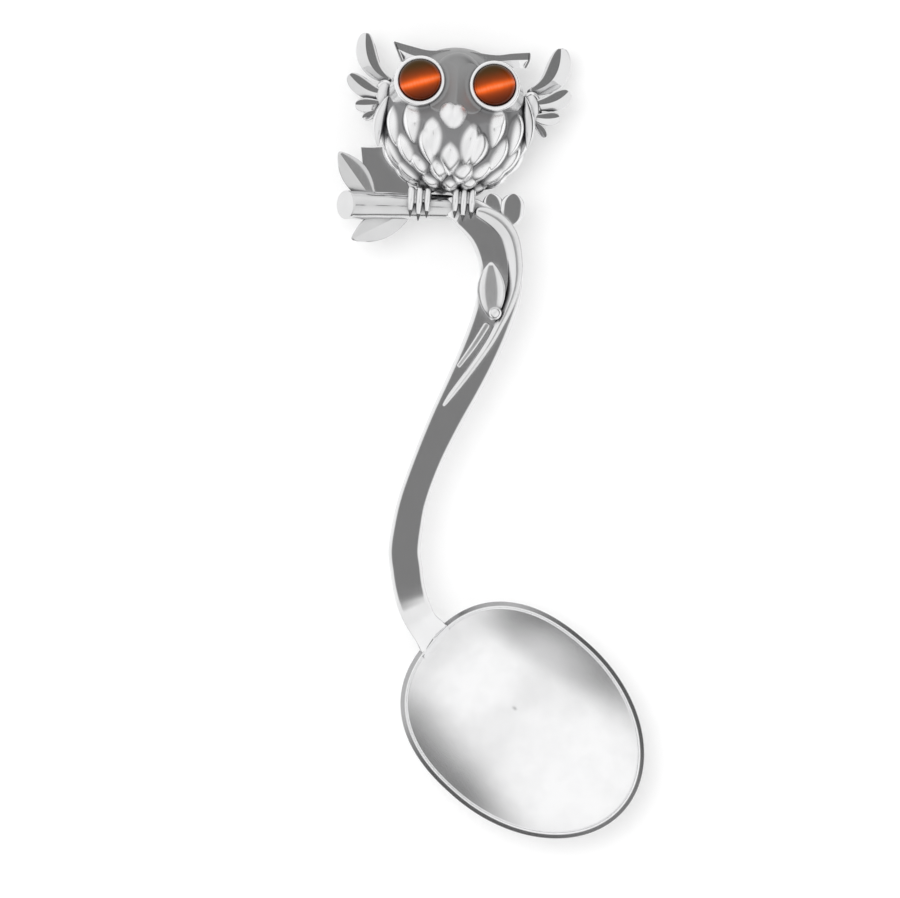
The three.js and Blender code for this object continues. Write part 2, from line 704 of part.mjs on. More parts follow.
// Foot: toes curled from the belly over the front of the branch, with an ankle joining them
function foot(place, grow) {
  const radius = seatRadius + SOLDER_GAP + TOE_RADIUS;
  const axis = new THREE.Vector3(place, 0, 0);
  perch.localToWorld(axis);
  owl.worldToLocal(axis);
  const toes = TOE_REACH.map((reach, k) => {
    const x = axis.x + (k - (TOE_REACH.length - 1) / 2) * TOE_SPREAD;
    const points = [
      new THREE.Vector3(x, axis.y + radius * 0.95, axis.z + radius * 1.05),
      new THREE.Vector3(x, axis.y + radius * 0.55, axis.z + radius * 1.1),
      new THREE.Vector3(x, axis.y, axis.z + radius * 1.02),
      new THREE.Vector3(x, axis.y - reach * 0.75, axis.z + radius * 0.8),
    ];
    const curve = new THREE.CatmullRomCurve3(points);
    return sweep(curve, 7, new THREE.Vector3(1, 0, 0), (share) => {
      const claw = (TOE_RADIUS + grow) * (1 - 0.65 * Math.max(0, share - 0.6) / 0.4);
      return ovalSection(claw, claw, 7);
    });
  });
  const ankleAt = [axis.x, axis.y + radius * 0.55, axis.z + radius * 1.1];
  const ankleRadii = [TOE_SPREAD + TOE_RADIUS, ANKLE_RADIUS, ANKLE_RADIUS];
  return joined([ellipsoid(ankleAt, ankleRadii, grow, 10, 8), ...toes]);
}

const leftWing = (grow) => wing(LEFT_WING, SIDES.left, grow);
const rightWing = (grow) => wing(RIGHT_WING, SIDES.right, grow);
const feet = (grow) => FOOT_PLACES.map((place) => foot(place, grow));

// The body's feathers give way to every piece that is set on the body
const onFeathers = [
  crown(SOLDER_GAP),
  beak(SOLDER_GAP),
  leftWing(SOLDER_GAP),
  rightWing(SOLDER_GAP),
  ...feet(SOLDER_GAP),
  carried(rearLeaf(SOLDER_GAP), perch, owl),
];
const body = bodyCore(0).add(cutBy(bodyFeathers(), onFeathers));
addPiece(owl, "owl_body", cutBy(body, [eyeRoom, woodForOwl, belowTable]), silver);
addPiece(owl, "owl_crown", cutBy(crown(0), [core, eyeRoom, beak(SOLDER_GAP)]), silver);
addPiece(owl, "beak", cutBy(beak(0), [core, eyeRoom]), silver);
addPiece(owl, "left_wing", cutBy(leftWing(0), [core, eyeRoom, crown(SOLDER_GAP)]), silver);
addPiece(owl, "right_wing", cutBy(rightWing(0), [core, eyeRoom, crown(SOLDER_GAP)]), silver);
const [leftFoot, rightFoot] = feet(0);
addPiece(owl, "left_foot", cutBy(leftFoot, [core, woodForOwl]), silver);
addPiece(owl, "right_foot", cutBy(rightFoot, [core, woodForOwl]), silver);
for (const side of Object.keys(SIDES)) {
  addPiece(eyes[side], side + "_bezel", bezelCup(), silver);
  addPiece(eyes[side], side + "_cabochon", cabochon(), catEyeStone);
}

// The branch and its leaves, cut back from the owl
const owlForPerch = carried(joined([core, ...feet(SOLDER_GAP)]), owl, perch);
const branchGrown = branch(SOLDER_GAP);
addPiece(perch, "perch_branch", branch(0), silver);
const upperLeaf = branchLeaf(UPPER_LEAF_ROOT, UPPER_LEAF_TIP, UPPER_LEAF_WIDTH);
addPiece(perch, "upper_leaf", cutBy(upperLeaf, [branchGrown, owlForPerch, rearLeaf(SOLDER_GAP)]), silver);
const lowerLeaf = branchLeaf(LOWER_LEAF_ROOT, LOWER_LEAF_TIP, LOWER_LEAF_WIDTH);
addPiece(perch, "lower_leaf", cutBy(lowerLeaf, [branchGrown, rearLeaf(SOLDER_GAP)]), silver);
addPiece(perch, "rear_leaf", cutBy(rearLeaf(0), [branchGrown, owlForPerch]), silver);

export default spoon;
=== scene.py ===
"""Looks of the silver owl spoon: its pieces, finishes and studio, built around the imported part.

The file is laid out as an add-on and run as a script. All places are in metres in the part's own frame:
+Z points out of the bowl, +Y runs from the bowl to the owl, and the origin is the middle of the bowl's foot.
"""
import math

import bmesh
import bpy
import numpy as np
from bpy.props import FloatProperty, FloatVectorProperty, IntProperty, PointerProperty
from mathutils import Matrix, Vector


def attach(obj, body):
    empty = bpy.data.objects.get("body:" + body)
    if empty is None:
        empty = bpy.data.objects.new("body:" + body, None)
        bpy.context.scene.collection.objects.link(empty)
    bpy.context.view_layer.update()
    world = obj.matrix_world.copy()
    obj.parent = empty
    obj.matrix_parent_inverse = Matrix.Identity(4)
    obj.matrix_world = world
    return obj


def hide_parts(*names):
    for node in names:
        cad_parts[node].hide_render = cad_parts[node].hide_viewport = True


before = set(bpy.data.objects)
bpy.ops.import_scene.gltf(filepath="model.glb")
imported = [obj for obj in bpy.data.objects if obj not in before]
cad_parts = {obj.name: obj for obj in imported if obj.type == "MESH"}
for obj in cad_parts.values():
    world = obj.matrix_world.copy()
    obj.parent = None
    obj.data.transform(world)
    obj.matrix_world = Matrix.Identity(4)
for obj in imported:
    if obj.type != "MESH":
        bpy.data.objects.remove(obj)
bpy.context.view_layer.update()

bl_info = {
    "name": "Owl spoon",
    "version": (1, 0, 0),
    "blender": (4, 5, 0),
    "location": "View3D > Sidebar > Owl spoon",
    "description": "Builds the pieces, finishes and studio of a silver spoon with an owl on its handle",
    "category": "Object",
}

MM = 0.001
UP = np.array([0.0, 0.0, 1.0])
SIDES = {"left": -1, "right": 1}

# Rim of the bowl: shares of its wall inwards and of its rounding downwards
RIM_PROFILE = [
    (0.02, 0.95), (0.05, 0.88), (0.07, 0.853), (0.58, 0.149), (0.6, 0.12),
    (0.66, 0.04), (0.74, 0), (0.84, 0.08), (0.92, 0.3), (0.97, 0.6),
]
# Painted dark edge of the rim: how far its skin turns outwards, and how far it reaches down in millimetres
EDGE_TURN = 0.3
EDGE_REACH = 0.6

# Stem: x from the neck, share of the stem's length, z from the rim, width and thickness, in millimetres
STEM_ROUTE = [
    (1.7, -0.0446, -2.0, 5.0, 2.2),
    (0.2, 0, -0.82, 5.3, 2.5),
    (-1.46, 0.0351, 0.25, 4.6, 2.75),
    (-2.12, 0.0558, 0.457, 4.68, 2.79),
    (-2.74, 0.0813, 0.548, 4.7, 2.8),
    (-3.18, 0.1084, 0.587, 4.7, 2.8),
    (-3.45, 0.1323, 0.598, 4.75, 2.8),
    (-3.62, 0.155, 0.6, 4.8, 2.8),
    (-3.9, 0.1976, 0.6, 4.75, 2.8),
    (-3.45, 0.2566, 0.6, 4.6, 2.8),
    (-2.7, 0.314, 0.6, 4.4, 2.8),
    (-0.6, 0.408, 0.6, 4.4, 2.8),
    (2.0, 0.5005, 0.6, 4.9, 2.8),
    (5.0, 0.5945, 0.6, 5.5, 2.8),
    (7.1, 0.6647, 0.6, 5.8, 2.8),
    (8.85, 0.7348, 0.6, 6.1, 2.8),
    (9.9, 0.7922, 0.6, 6.4, 2.8),
    (10.2, 0.8511, 0.6, 6.3, 2.8),
    (9.6, 0.9021, 0.6, 6.3, 2.8),
    (8.2, 0.9452, 0.6, 6.0, 2.8),
    (6.2, 0.9755, 0.5, 5.4, 3.0),
    (4.4, 0.993, 0.5, 4.6, 3.0),
    (3.1, 0.9994, 0.7, 3.3, 2.6),
    (2.2, 1.0, 0.3, 2.2, 1.6),
]
# How deep the stem's end lies in the bowl's skin, in millimetres
STEM_SINK = 0.4

# Vine, stalk, leaf and bud on the stem: share of its length, offset across it, and radius in millimetres
VINE_ROUTE = [
    (0.945, -0.9, 0.75),
    (0.925, -1.45, 1.1),
    (0.9, -2.05, 1.35),
    (0.875, -2.35, 1.35),
    (0.85, -2.25, 1.25),
    (0.82, -2.1, 1.15),
    (0.79, -1.95, 1.0),
    (0.753, -1.55, 0.85),
    (0.712, -1.15, 0.7),
    (0.676, -0.8, 0.62),
    (0.61, 0.1, 0.52),
    (0.546, 1.0, 0.42),
    (0.522, 1.28, 0.25),
]
STALK_ROUTE = [(0.71, 0.4, 0.5), (0.66, 1.1, 0.45), (0.605, 1.9, 0.3)]
STEM_LEAF_ROUTE = [(0.718, -0.1), (0.776, 1.35), (0.838, 1.3)]
BUD_PLACE = (0.733, -0.1)
# Half heights of the strands, how deep they sink into the stem, and the shares of its length where they do
VINE_HEIGHT = 0.6
STALK_HEIGHT = 0.25
SINK = 0.3
SINK_SHARES = (0.52, 0.67)

# Lobes of the twig stub in the branch's frame: both ends and the share of the stub's radius, in millimetres
STUB_LOBES = [
    ((9.5, -2.3, 0.3), (9.85, 2.2, 0.3), 1.2),
    ((7.7, -2.2, 0.1), (6.35, 2.1, 0.1), 1.0),
]

# Leaves on the branch: root along it, then the tip from the root, the width and the bow, in millimetres
BRANCH_LEAVES = {
    "upper_leaf": (10.2, (-5.7, 7.7, 0), 3.9, 0),
    "lower_leaf": (4.2, (-9.5, -5.0, -0.6), 4.2, 0.7),
}
# Rear leaf: its corners in millimetres; those without a height are at its clipped tip
REAR_CORNERS = [(-3.2, -1.0), (-8.8, None), (-12.8, None), (-11.6, -1.0)]
REAR_BEVEL = 0.12
# Rings of the branch's cut: share of its radius, and how far it stands out in millimetres
CUT_RINGS = [(0.97, 0.06), (0.93, 0.1), (0.6, 0.1), (0.2, 0.12)]

# Wings: root, bend and tip of each feather as shares of the owl's half sizes, and its width in millimetres
WING_FEATHERS = {
    "left": [
        ((-0.9, 0.57, -0.05), (-1.323, 0.657, 0.02), (-1.305, 1.22, 0.12), 3.1),
        ((-0.96, 0.37, 0.05), (-1.244, 0.292, 0.12), (-1.495, 0.58, 0.19), 2.75),
        ((-0.98, 0.23, 0.02), (-1.18, 0.159, 0.07), (-1.385, 0.155, 0.12), 2.15),
        ((-1.0, 0.14, -0.05), (-1.144, 0.06, -0.02), (-1.27, -0.015, 0), 1.4),
    ],
    "right": [
        ((0.97, 0.55, -0.05), (1.447, 0.628, 0.02), (1.395, 1.19, 0.12), 3.7),
        ((1.0, 0.345, 0.05), (1.382, 0.326, 0.12), (1.54, 0.555, 0.19), 2.85),
        ((1.03, 0.18, 0.02), (1.286, 0.122, 0.07), (1.44, 0.185, 0.12), 2.1),
        ((1.06, 0.12, -0.05), (1.195, 0.043, -0.02), (1.265, -0.11, 0), 1.3),
    ],
}
COVERTS = {
    "left": ((-0.93, 0.3, 0.23), (-1.099, -0.052, 0.3), (-1.03, -0.466, 0.26)),
    "right": ((0.95, 0.42, 0.23), (1.066, 0.05, 0.3), (1.023, -0.343, 0.26)),
}
# Width and thickness of a covert, and radii of a shoulder, in millimetres
COVERT_SIZE = (2.0, 1.4)
SHOULDER_RADII = (1.6, 2.5, 1.6)

# Ear tufts: upper edge, ridge and lower edge from the owl's middle, in millimetres, from root to end
TUFTS = {
    "left": [
        (-0.65, 10.77, -0.65, 9.31, -0.65, 8.43),
        (-3.65, 10.67, -3.43, 9.46, -3.28, 8.73),
        (-6.21, 11.27, -6.06, 9.97, -5.92, 8.87),
        (-8.77, 12.0, -8.37, 10.92, -7.6, 9.02),
    ],
    "right": [
        (2.28, 10.48, 2.28, 9.31, 2.28, 8.43),
        (6.23, 9.97, 6.08, 9.09, 5.93, 8.29),
        (8.42, 10.19, 8.35, 9.24, 8.27, 8.14),
        (10.98, 10.33, 10.91, 9.31, 10.32, 8.07),
    ],
}
# Tufts: height, height of the foot and half width of the brim in millimetres, and slope of the lower face
TUFT_HEIGHT = 1.7
TUFT_FOOT = 0.4
BRIM_HALF = 0.28
TUFT_SLOPE = 0.42

# Cap of the head: its middle over the owl's, and how far it lies inside the owl's sides, over its top and
# behind its front; then the radii of the brow, in millimetres
CAP_LIFT = 5.4
CAP_MARGINS = (3.2, 1.05, 2)
BROW_RADII = (4.4, 6.2, 2.2)
# Dish round the eyes: slope of its walls, where they start, and how far the bezels' lips stand over the body
# and over the crown, in millimetres
DISH_RISE = 0.4
DISH_REACH = 4.2
BODY_DISH = 0.75
CROWN_DISH = 0.6

# Places on the owl as shares of its half sizes; width, thickness and bow of a beak's lobe in millimetres
EYE_PLACE = (0.485, 0.437, 0.52)
BROW = (0.0, 0.3, 0.74)
BEAK_ROOTS = ((-0.115, 0.11, 0.825), (0.055, 0.09, 0.825))
BEAK_TIP = (-0.02, -0.27, 0.885)
BEAK_LOBE = (3.1, 2.8, 1.0)

# Bezels: how far the foot lies outwards and down for its depth, then how deep it goes into the head and how
# far the crest laps the stone, in millimetres; stones: bevel of the base, and turn of the painted band of
# light
BEZEL_DRIFT = 0.2
BEZEL_ROOT = 2
BEZEL_LAP = 0.05
STONE_BEVEL = 0.1
BAND_TURN = math.radians(15)

# Breast feathers: latitude of the row, how much lower it starts in front, feathers round the body, turn of
# the first, length and width in millimetres
FEATHER_ROWS = [
    (10, 14, 15, 0.5, 7.0, 3.6),
    (-15, 8, 15, 0, 6.2, 3.5),
    (-35, 8, 13, 0.5, 5.0, 3.2),
    (-55, 8, 9, 0, 3.9, 2.9),
]
# Feathers within the front angle start lower; those beyond the middle angle are moved aside by the parting
FRONT_ANGLE = 0.3
MIDDLE_ANGLE = 0.1
PARTING = 0.09

# Feet: place along the branch, reach and spread of the toes, and their gap to the branch, in millimetres
FOOT_PLACES = {"left": -4.0, "right": 2.5}
TOE_REACH = (1.6, 2.3, 1.6)
TOE_SPREAD = 1.2
TOE_GAP = 0.2
# Upper course of a toe, as shares of its distance from the branch's middle; course and radius of a claw
TOE_CURL = [(0, 0.95, 1.05), (0, 0.55, 1.1), (0, 0, 1.02)]
CLAW_CURVE = [(0, 0.25, -0.05), (0, -0.15, 0.12), (0, -0.5, -0.1), (0, -0.75, -0.5)]
CLAW_RADIUS = 0.34

# Reach of the patina and painted shade into hollows, and scales of the patterns in the finishes
HOLLOW_REACH = 0.0014
CLOUD_SCALE = 260.0
WIPE_SCALE = 5200.0
SILK_SCALE = 3800.0
DRIFT_SCALE = 500.0

# Frame of the picture in pixels, the pixel of the origin, and the camera's aim over the floor and sensor
PICTURE = (900, 898)
ORIGIN_PIXEL = (520.8, 719.6)
AIM_HEIGHT = 0.009
SENSOR = 36
# Lamp: its size, the spot it shines on and its place from there
LAMP_SIZE = 0.5
LAMP_AIM = (-0.005, 0.04, 0)
LAMP_OFFSET = (-0.2, 0.13, 0.97)
# Studio: brightness of the dark sides, of the glow on the left and on the right, and the rise overhead; then
# the sines of the heights where the dark starts and ends, and the edges of the gap as shares of its angle
SIDE_DARK = 0.06
LEFT_GLOW = 0.8
RIGHT_GLOW = 0.12
OVERHEAD_GLOW = 0.1
DARK_FROM = 0.05
DARK_TO = 0.42
GAP_EDGES = (1.6, 0.4)


def length(name, description, default):
    return FloatProperty(name=name, description=description, default=default, unit="LENGTH", precision=5)


def portion(name, description, default):
    return FloatProperty(name=name, description=description, default=default, min=0, max=1, subtype="FACTOR")


def turn(name, description, degrees):
    return FloatProperty(name=name, description=description, default=math.radians(degrees), subtype="ANGLE")


def tint(name, description, default):
    return FloatVectorProperty(
        name=name, description=description, default=default, size=3, min=0, max=1, subtype="COLOR"
    )


class BowlSizes(bpy.types.PropertyGroup):
    far: length("Far half", "From the middle of the bowl to its far end", 0.02015)
    near: length("Near half", "From the middle of the bowl to the stem", 0.0179)
    width: length("Width", "Across the rim", 0.0299)
    height: length("Height", "From the foot to the rim", 0.0095)
    wall: length("Wall", "Thickness of the silver", 0.0009)
    foot: length("Foot", "Length of the flat foot", 0.0091)
    rim_round: length("Rim rounding", "Depth of the rim's edges", 0.0006)
    hollow: length("Hollow", "Depth of the hollow under the rim", 0.0085)
    hollow_power: FloatProperty(name="Hollow power", description="Power of the hollow's rise", default=1.57)
    deepest: FloatVectorProperty(
        name="Deepest place", description="X and Y of the deepest place of the hollow",
        default=(-0.0009, 0.0016), size=2, unit="LENGTH", precision=5,
    )
    heading: turn("Turn", "Turn of the long axis from +X", -41.35)
    blunt: FloatProperty(name="Bluntness", description="How square the near half is", default=2.4)
    steepness: FloatProperty(name="Steepness", description="Power of the outside's rise", default=2.7)
    neck_shift: length("Neck shift", "How far the neck lies off the long axis", 0.0005)


class StemSizes(bpy.types.PropertyGroup):
    length: length("Length", "From the neck to the branch along Y", 0.06274)
    squareness: FloatProperty(name="Squareness", description="How square the bar's section is", default=15)
    vine_lift: length("Vine lift", "How far the vine's middle stands over the stem", 0.0001)
    leaf_width: length("Leaf width", "Across the leaf on the stem", 0.0041)
    leaf_thick: length("Leaf thickness", "Thickness of the leaf on the stem", 0.001)
    leaf_cup: length("Leaf cup", "How far the edges of the leaf rise", 0.00075)
    bud: length("Bud radius", "Radius of the bud at the leaf's foot", 0.00095)
    stub: length("Stub radius", "Radius of the twig stub", 0.0015)


class BranchSizes(bpy.types.PropertyGroup):
    length: length("Length", "From the stem's end to the cut", 0.0147)
    root: length("Root radius", "Radius at the stem's end", 0.0018)
    cut: length("Cut radius", "Radius at the cut", 0.0021)
    slant: turn("Cut slant", "Slant of the cut", 32)
    leaf_thick: length("Leaf thickness", "Thickness of the pointed leaves", 0.0009)
    rear_height: length("Rear leaf height", "From the branch to the clipped tip", 0.0086)
    rear_thick: length("Rear leaf thickness", "Thickness of the broad leaf", 0.0009)
    rear_back: length("Rear leaf depth", "How far the broad leaf lies behind the branch", 0.003)


class OwlSizes(bpy.types.PropertyGroup):
    width: length("Width", "Across the body", 0.0212)
    height: length("Height", "From the seat to the head", 0.0204)
    depth: length("Depth", "From back to breast", 0.0172)
    lean: turn("Lean", "How far the owl leans back", 12)
    roll: turn("Roll", "How far the owl leans to the right", 4)
    along: length("Place on the branch", "From the stem's end", 0.0012)
    seat_gap: length("Seat gap", "Between the branch and the body", 0.0003)
    back_flat: length("Flat back", "How much of the back is filed away", 0.0006)
    feather_rise: length("Feather rise", "How far a feather's tip stands proud", 0.0005)
    feather_crown: length("Feather crown", "How far a feather's middle is domed", 0.0009)
    wing_thick: length("Wing thickness", "Thickness of a wing feather", 0.0013)
    toe: length("Toe radius", "Radius of a toe", 0.0005)


class EyeSizes(bpy.types.PropertyGroup):
    stone: length("Stone", "Diameter of an eye stone", 0.006)
    dome: length("Dome", "Height of an eye stone", 0.0025)
    girdle: length("Girdle", "Height of the stone's straight side", 0.0009)
    wall: length("Bezel wall", "Thickness of the bezel at its lip", 0.00055)
    flare: length("Bezel flare", "How much wider the bezel is at its foot", 0.00025)
    floor: length("Bezel floor", "Height of the floor under the stone", 0.0021)
    lip: length("Bezel lip", "How far the bezel stands over the stone's base", 0.0009)
    gap: length("Gap", "Clearance round the stone", 0.0002)
    splay: turn("Splay", "How far the eyes look outwards", 6)


class Finishes(bpy.types.PropertyGroup):
    silver: tint("Silver", "Colour of the polished silver", (0.9, 0.9, 0.905))
    # Colour of the darkened hollows, partly tarnish and partly painted shade; the bowl's painted dark edge
    # takes it too
    patina_and_shade: tint("Patina", "Colour of the silver in deep hollows", (0.05, 0.05, 0.055))
    # Grey ground between the feathers: painted shade between the raised parts
    ground: tint("Ground", "Colour of the grey ground between the feathers", (0.27, 0.27, 0.275))
    polish: portion("Polish", "Roughness of the polished silver", 0.07)
    satin: portion("Satin", "Roughness of the bowl", 0.19)
    stone_dark: tint("Stone", "Colour of the stone away from its band", (0.066, 0.0097, 0.0009))
    stone_olive: tint("Stone top", "Colour of the stone towards its top", (0.044, 0.023, 0.0035))
    # The band is a painted sheen of the stone's cat's-eye light, and its middle a painted highlight
    stone_band: tint("Band", "Colour of the band of light across the stone", (0.8, 0.111, 0.0107))
    stone_band_highlight: tint("Core", "Colour of the middle of the band", (0.9, 0.324, 0.153))


class StageSettings(bpy.types.PropertyGroup):
    floor: tint("Floor", "Colour of the floor", (0.75, 0.75, 0.75))
    table: length("Table", "Radius of the floor", 0.3)
    lift: portion("Floor lift", "How much of the floor's white is its own", 0.23)
    overhead: FloatProperty(name="Overhead", description="Brightness of the studio overhead", default=0.9)
    aperture: FloatProperty(
        name="Aperture", description="Brightness of the gap round the camera", default=0.21
    )
    gap: turn("Gap", "Half angle of the gap round the camera", 3.8)
    key: FloatProperty(name="Key lamp", description="Power of the soft lamp", default=2.9, unit="POWER")
    pixel: length("Pixel", "Size of a picture element on the object", 0.0001463)
    distance: length("Camera distance", "From the camera to the object", 3.0)


GROUPS = (BowlSizes, StemSizes, BranchSizes, OwlSizes, EyeSizes, Finishes, StageSettings)


class SpoonSettings(bpy.types.PropertyGroup):
    bowl: PointerProperty(type=BowlSizes, name="Bowl", description="Sizes of the bowl")
    stem: PointerProperty(type=StemSizes, name="Stem", description="Sizes of the stem and its vine")
    branch: PointerProperty(type=BranchSizes, name="Branch", description="Sizes of the branch and its leaves")
    owl: PointerProperty(type=OwlSizes, name="Owl", description="Sizes of the owl")
    eyes: PointerProperty(type=EyeSizes, name="Eyes", description="Sizes of the eyes")
    finishes: PointerProperty(type=Finishes, name="Finishes", description="Colours and polish")
    stage: PointerProperty(type=StageSettings, name="Stage", description="Floor, light and camera")
    segments: IntProperty(name="Segments", description="Points round a section", default=48, min=8)


def settings():
    return bpy.context.scene.owl_spoon


def math_method(operation, reflected=False):
    """A method of Term that adds a Math node for an operator."""

    def method(self, other):
        values = (other, self) if reflected else (self, other)
        return self.board.math(operation, *values)

    return method


class Term:
    """The value of a node's socket; arithmetic on it adds Math nodes."""

    __add__ = math_method("ADD")
    __radd__ = math_method("ADD", True)
    __sub__ = math_method("SUBTRACT")
    __rsub__ = math_method("SUBTRACT", True)
    __mul__ = math_method("MULTIPLY")
    __rmul__ = math_method("MULTIPLY", True)
    __truediv__ = math_method("DIVIDE")
    __rtruediv__ = math_method("DIVIDE", True)
    __pow__ = math_method("POWER")
    __rpow__ = math_method("POWER", True)

    def __init__(self, board, socket):
        self.board = board
        self.socket = socket

    def __abs__(self):
        return self.math("ABSOLUTE")

    def math(self, operation, *others):
        return self.board.math(operation, self, *others)


class Board:
    """A node tree that is being built."""

    def __init__(self, tree):
        self.tree = tree

    @staticmethod
    def socket(sockets, key):
        if isinstance(key, int):
            return sockets[key]
        for socket in sockets:
            if socket.identifier == key:
                return socket
        return next(socket for socket in sockets if socket.name == key and socket.enabled)

    def add(self, kind, choices=None, values=None, output=0):
        """Adds a node: first its settings, then the values or links of its sockets."""
        node = self.tree.nodes.new(kind)
        for name, choice in (choices or {}).items():
            setattr(node, name, choice)
        for key, value in (values or {}).items():
            socket = self.socket(node.inputs, key)
            if isinstance(value, Term):
                self.tree.links.new(value.socket, socket)
            else:
                socket.default_value = value
        if not node.outputs:
            return None
        return Term(self, self.socket(node.outputs, output))

    def math(self, operation, *values):
        return self.add("ShaderNodeMath", {"operation": operation}, dict(enumerate(values)))

    def vector(self, operation, *values, output=0):
        return self.add("ShaderNodeVectorMath", {"operation": operation}, dict(enumerate(values)), output)

    def scaled(self, vector, factor):
        return self.add("ShaderNodeVectorMath", {"operation": "SCALE"}, {0: vector, "Scale": factor})

    def others(self, term):
        """All outputs of the node that a term comes from."""
        return [Term(self, socket) for socket in term.socket.node.outputs]

    def parts(self, vector):
        return self.others(self.add("ShaderNodeSeparateXYZ", None, {0: vector}))

    def ranged(self, value, low, high, to_low=0.0, to_high=1.0):
        """A smooth step of a value from one range to another."""
        spans = {"Value": value, "From Min": low, "From Max": high, "To Min": to_low, "To Max": to_high}
        return self.add("ShaderNodeMapRange", {"interpolation_type": "SMOOTHSTEP"}, spans)

    def mixed(self, factor, first, second):
        colours = {"Factor_Float": factor, "A_Color": first, "B_Color": second}
        return self.add("ShaderNodeMix", {"data_type": "RGBA"}, colours, "Result_Color")

    def inlets(self, sockets):
        for name, kind, default in sockets:
            made = self.tree.interface.new_socket(name, in_out="INPUT", socket_type=kind)
            if default is not None:
                made.default_value = default
        return self.others(self.add("NodeGroupInput"))[: len(sockets)]

    def attribute(self, name, kind="FLOAT"):
        return self.add("GeometryNodeInputNamedAttribute", {"data_type": kind}, {"Name": name})

    def stored(self, geometry, name, value, kind="FLOAT_VECTOR"):
        choices = {"data_type": kind, "domain": "POINT"}
        values = {0: geometry, "Name": name, "Value": value}
        return self.add("GeometryNodeStoreNamedAttribute", choices, values)

    def outlet(self, geometry, finish):
        """Ends a geometry tree in plain, finished geometry."""
        self.tree.interface.new_socket("Geometry", in_out="OUTPUT", socket_type="NodeSocketGeometry")
        real = self.add("GeometryNodeRealizeInstances", None, {0: geometry})
        dressed = self.add("GeometryNodeSetMaterial", None, {0: real, "Material": finish})
        self.add("NodeGroupOutput", None, {0: dressed})


def geometry_board(name):
    return Board(bpy.data.node_groups.new(name, "GeometryNodeTree"))


def section_tree():
    """Sweeps a section along routes whose points carry its half sizes, cup and directions."""
    board = geometry_board("Section along routes")
    routes, sides, squareness, slope, finish = board.inlets([
        ("Routes", "NodeSocketGeometry", None),
        ("Sides", "NodeSocketInt", 32),
        ("Squareness", "NodeSocketFloat", 2.0),
        ("Slope", "NodeSocketFloat", 0.0),
        ("Finish", "NodeSocketMaterial", None),
    ])
    rail = board.add("GeometryNodeMeshToCurve", None, {0: routes})
    rail = board.stored(rail, "place", board.add("GeometryNodeInputPosition"))
    ring = board.add("GeometryNodeCurvePrimitiveCircle", None, {"Resolution": 720, "Radius": 1.0})
    cosine, sine, _ = board.parts(board.add("GeometryNodeInputPosition"))
    power = 2.0 / squareness
    squared = {0: cosine.math("SIGN") * abs(cosine) ** power, 1: sine.math("SIGN") * abs(sine) ** power}
    corner = board.add("ShaderNodeCombineXYZ", None, squared)
    ring = board.add("GeometryNodeSetPosition", None, {0: ring, "Position": corner})
    ring = board.add("GeometryNodeResampleCurve", {"mode": "COUNT"}, {0: ring, "Count": sides})
    ring = board.stored(ring, "section", board.add("GeometryNodeInputPosition"))
    tube = board.add("GeometryNodeCurveToMesh", None, {0: rail, 1: ring, "Fill Caps": True})
    across, outward, _ = board.parts(board.attribute("section", "FLOAT_VECTOR"))
    along = board.attribute("along", "FLOAT_VECTOR")
    facing = board.attribute("facing", "FLOAT_VECTOR")
    side = board.vector("NORMALIZE", board.vector("CROSS_PRODUCT", facing, along))
    out = board.vector("CROSS_PRODUCT", along, side)
    half_width = board.attribute("half_width")
    fall = (across * slope).math("MAXIMUM", 0.0) * half_width
    rise = board.attribute("half_thick") * outward + board.attribute("cup") * across ** 6.0 - fall
    offset = board.vector("ADD", board.scaled(side, across * half_width), board.scaled(out, rise))
    place = board.vector("ADD", board.attribute("place", "FLOAT_VECTOR"), offset)
    shaped = board.add("GeometryNodeSetPosition", None, {0: tube, "Position": place})
    board.outlet(shaped, finish)
    return board.tree


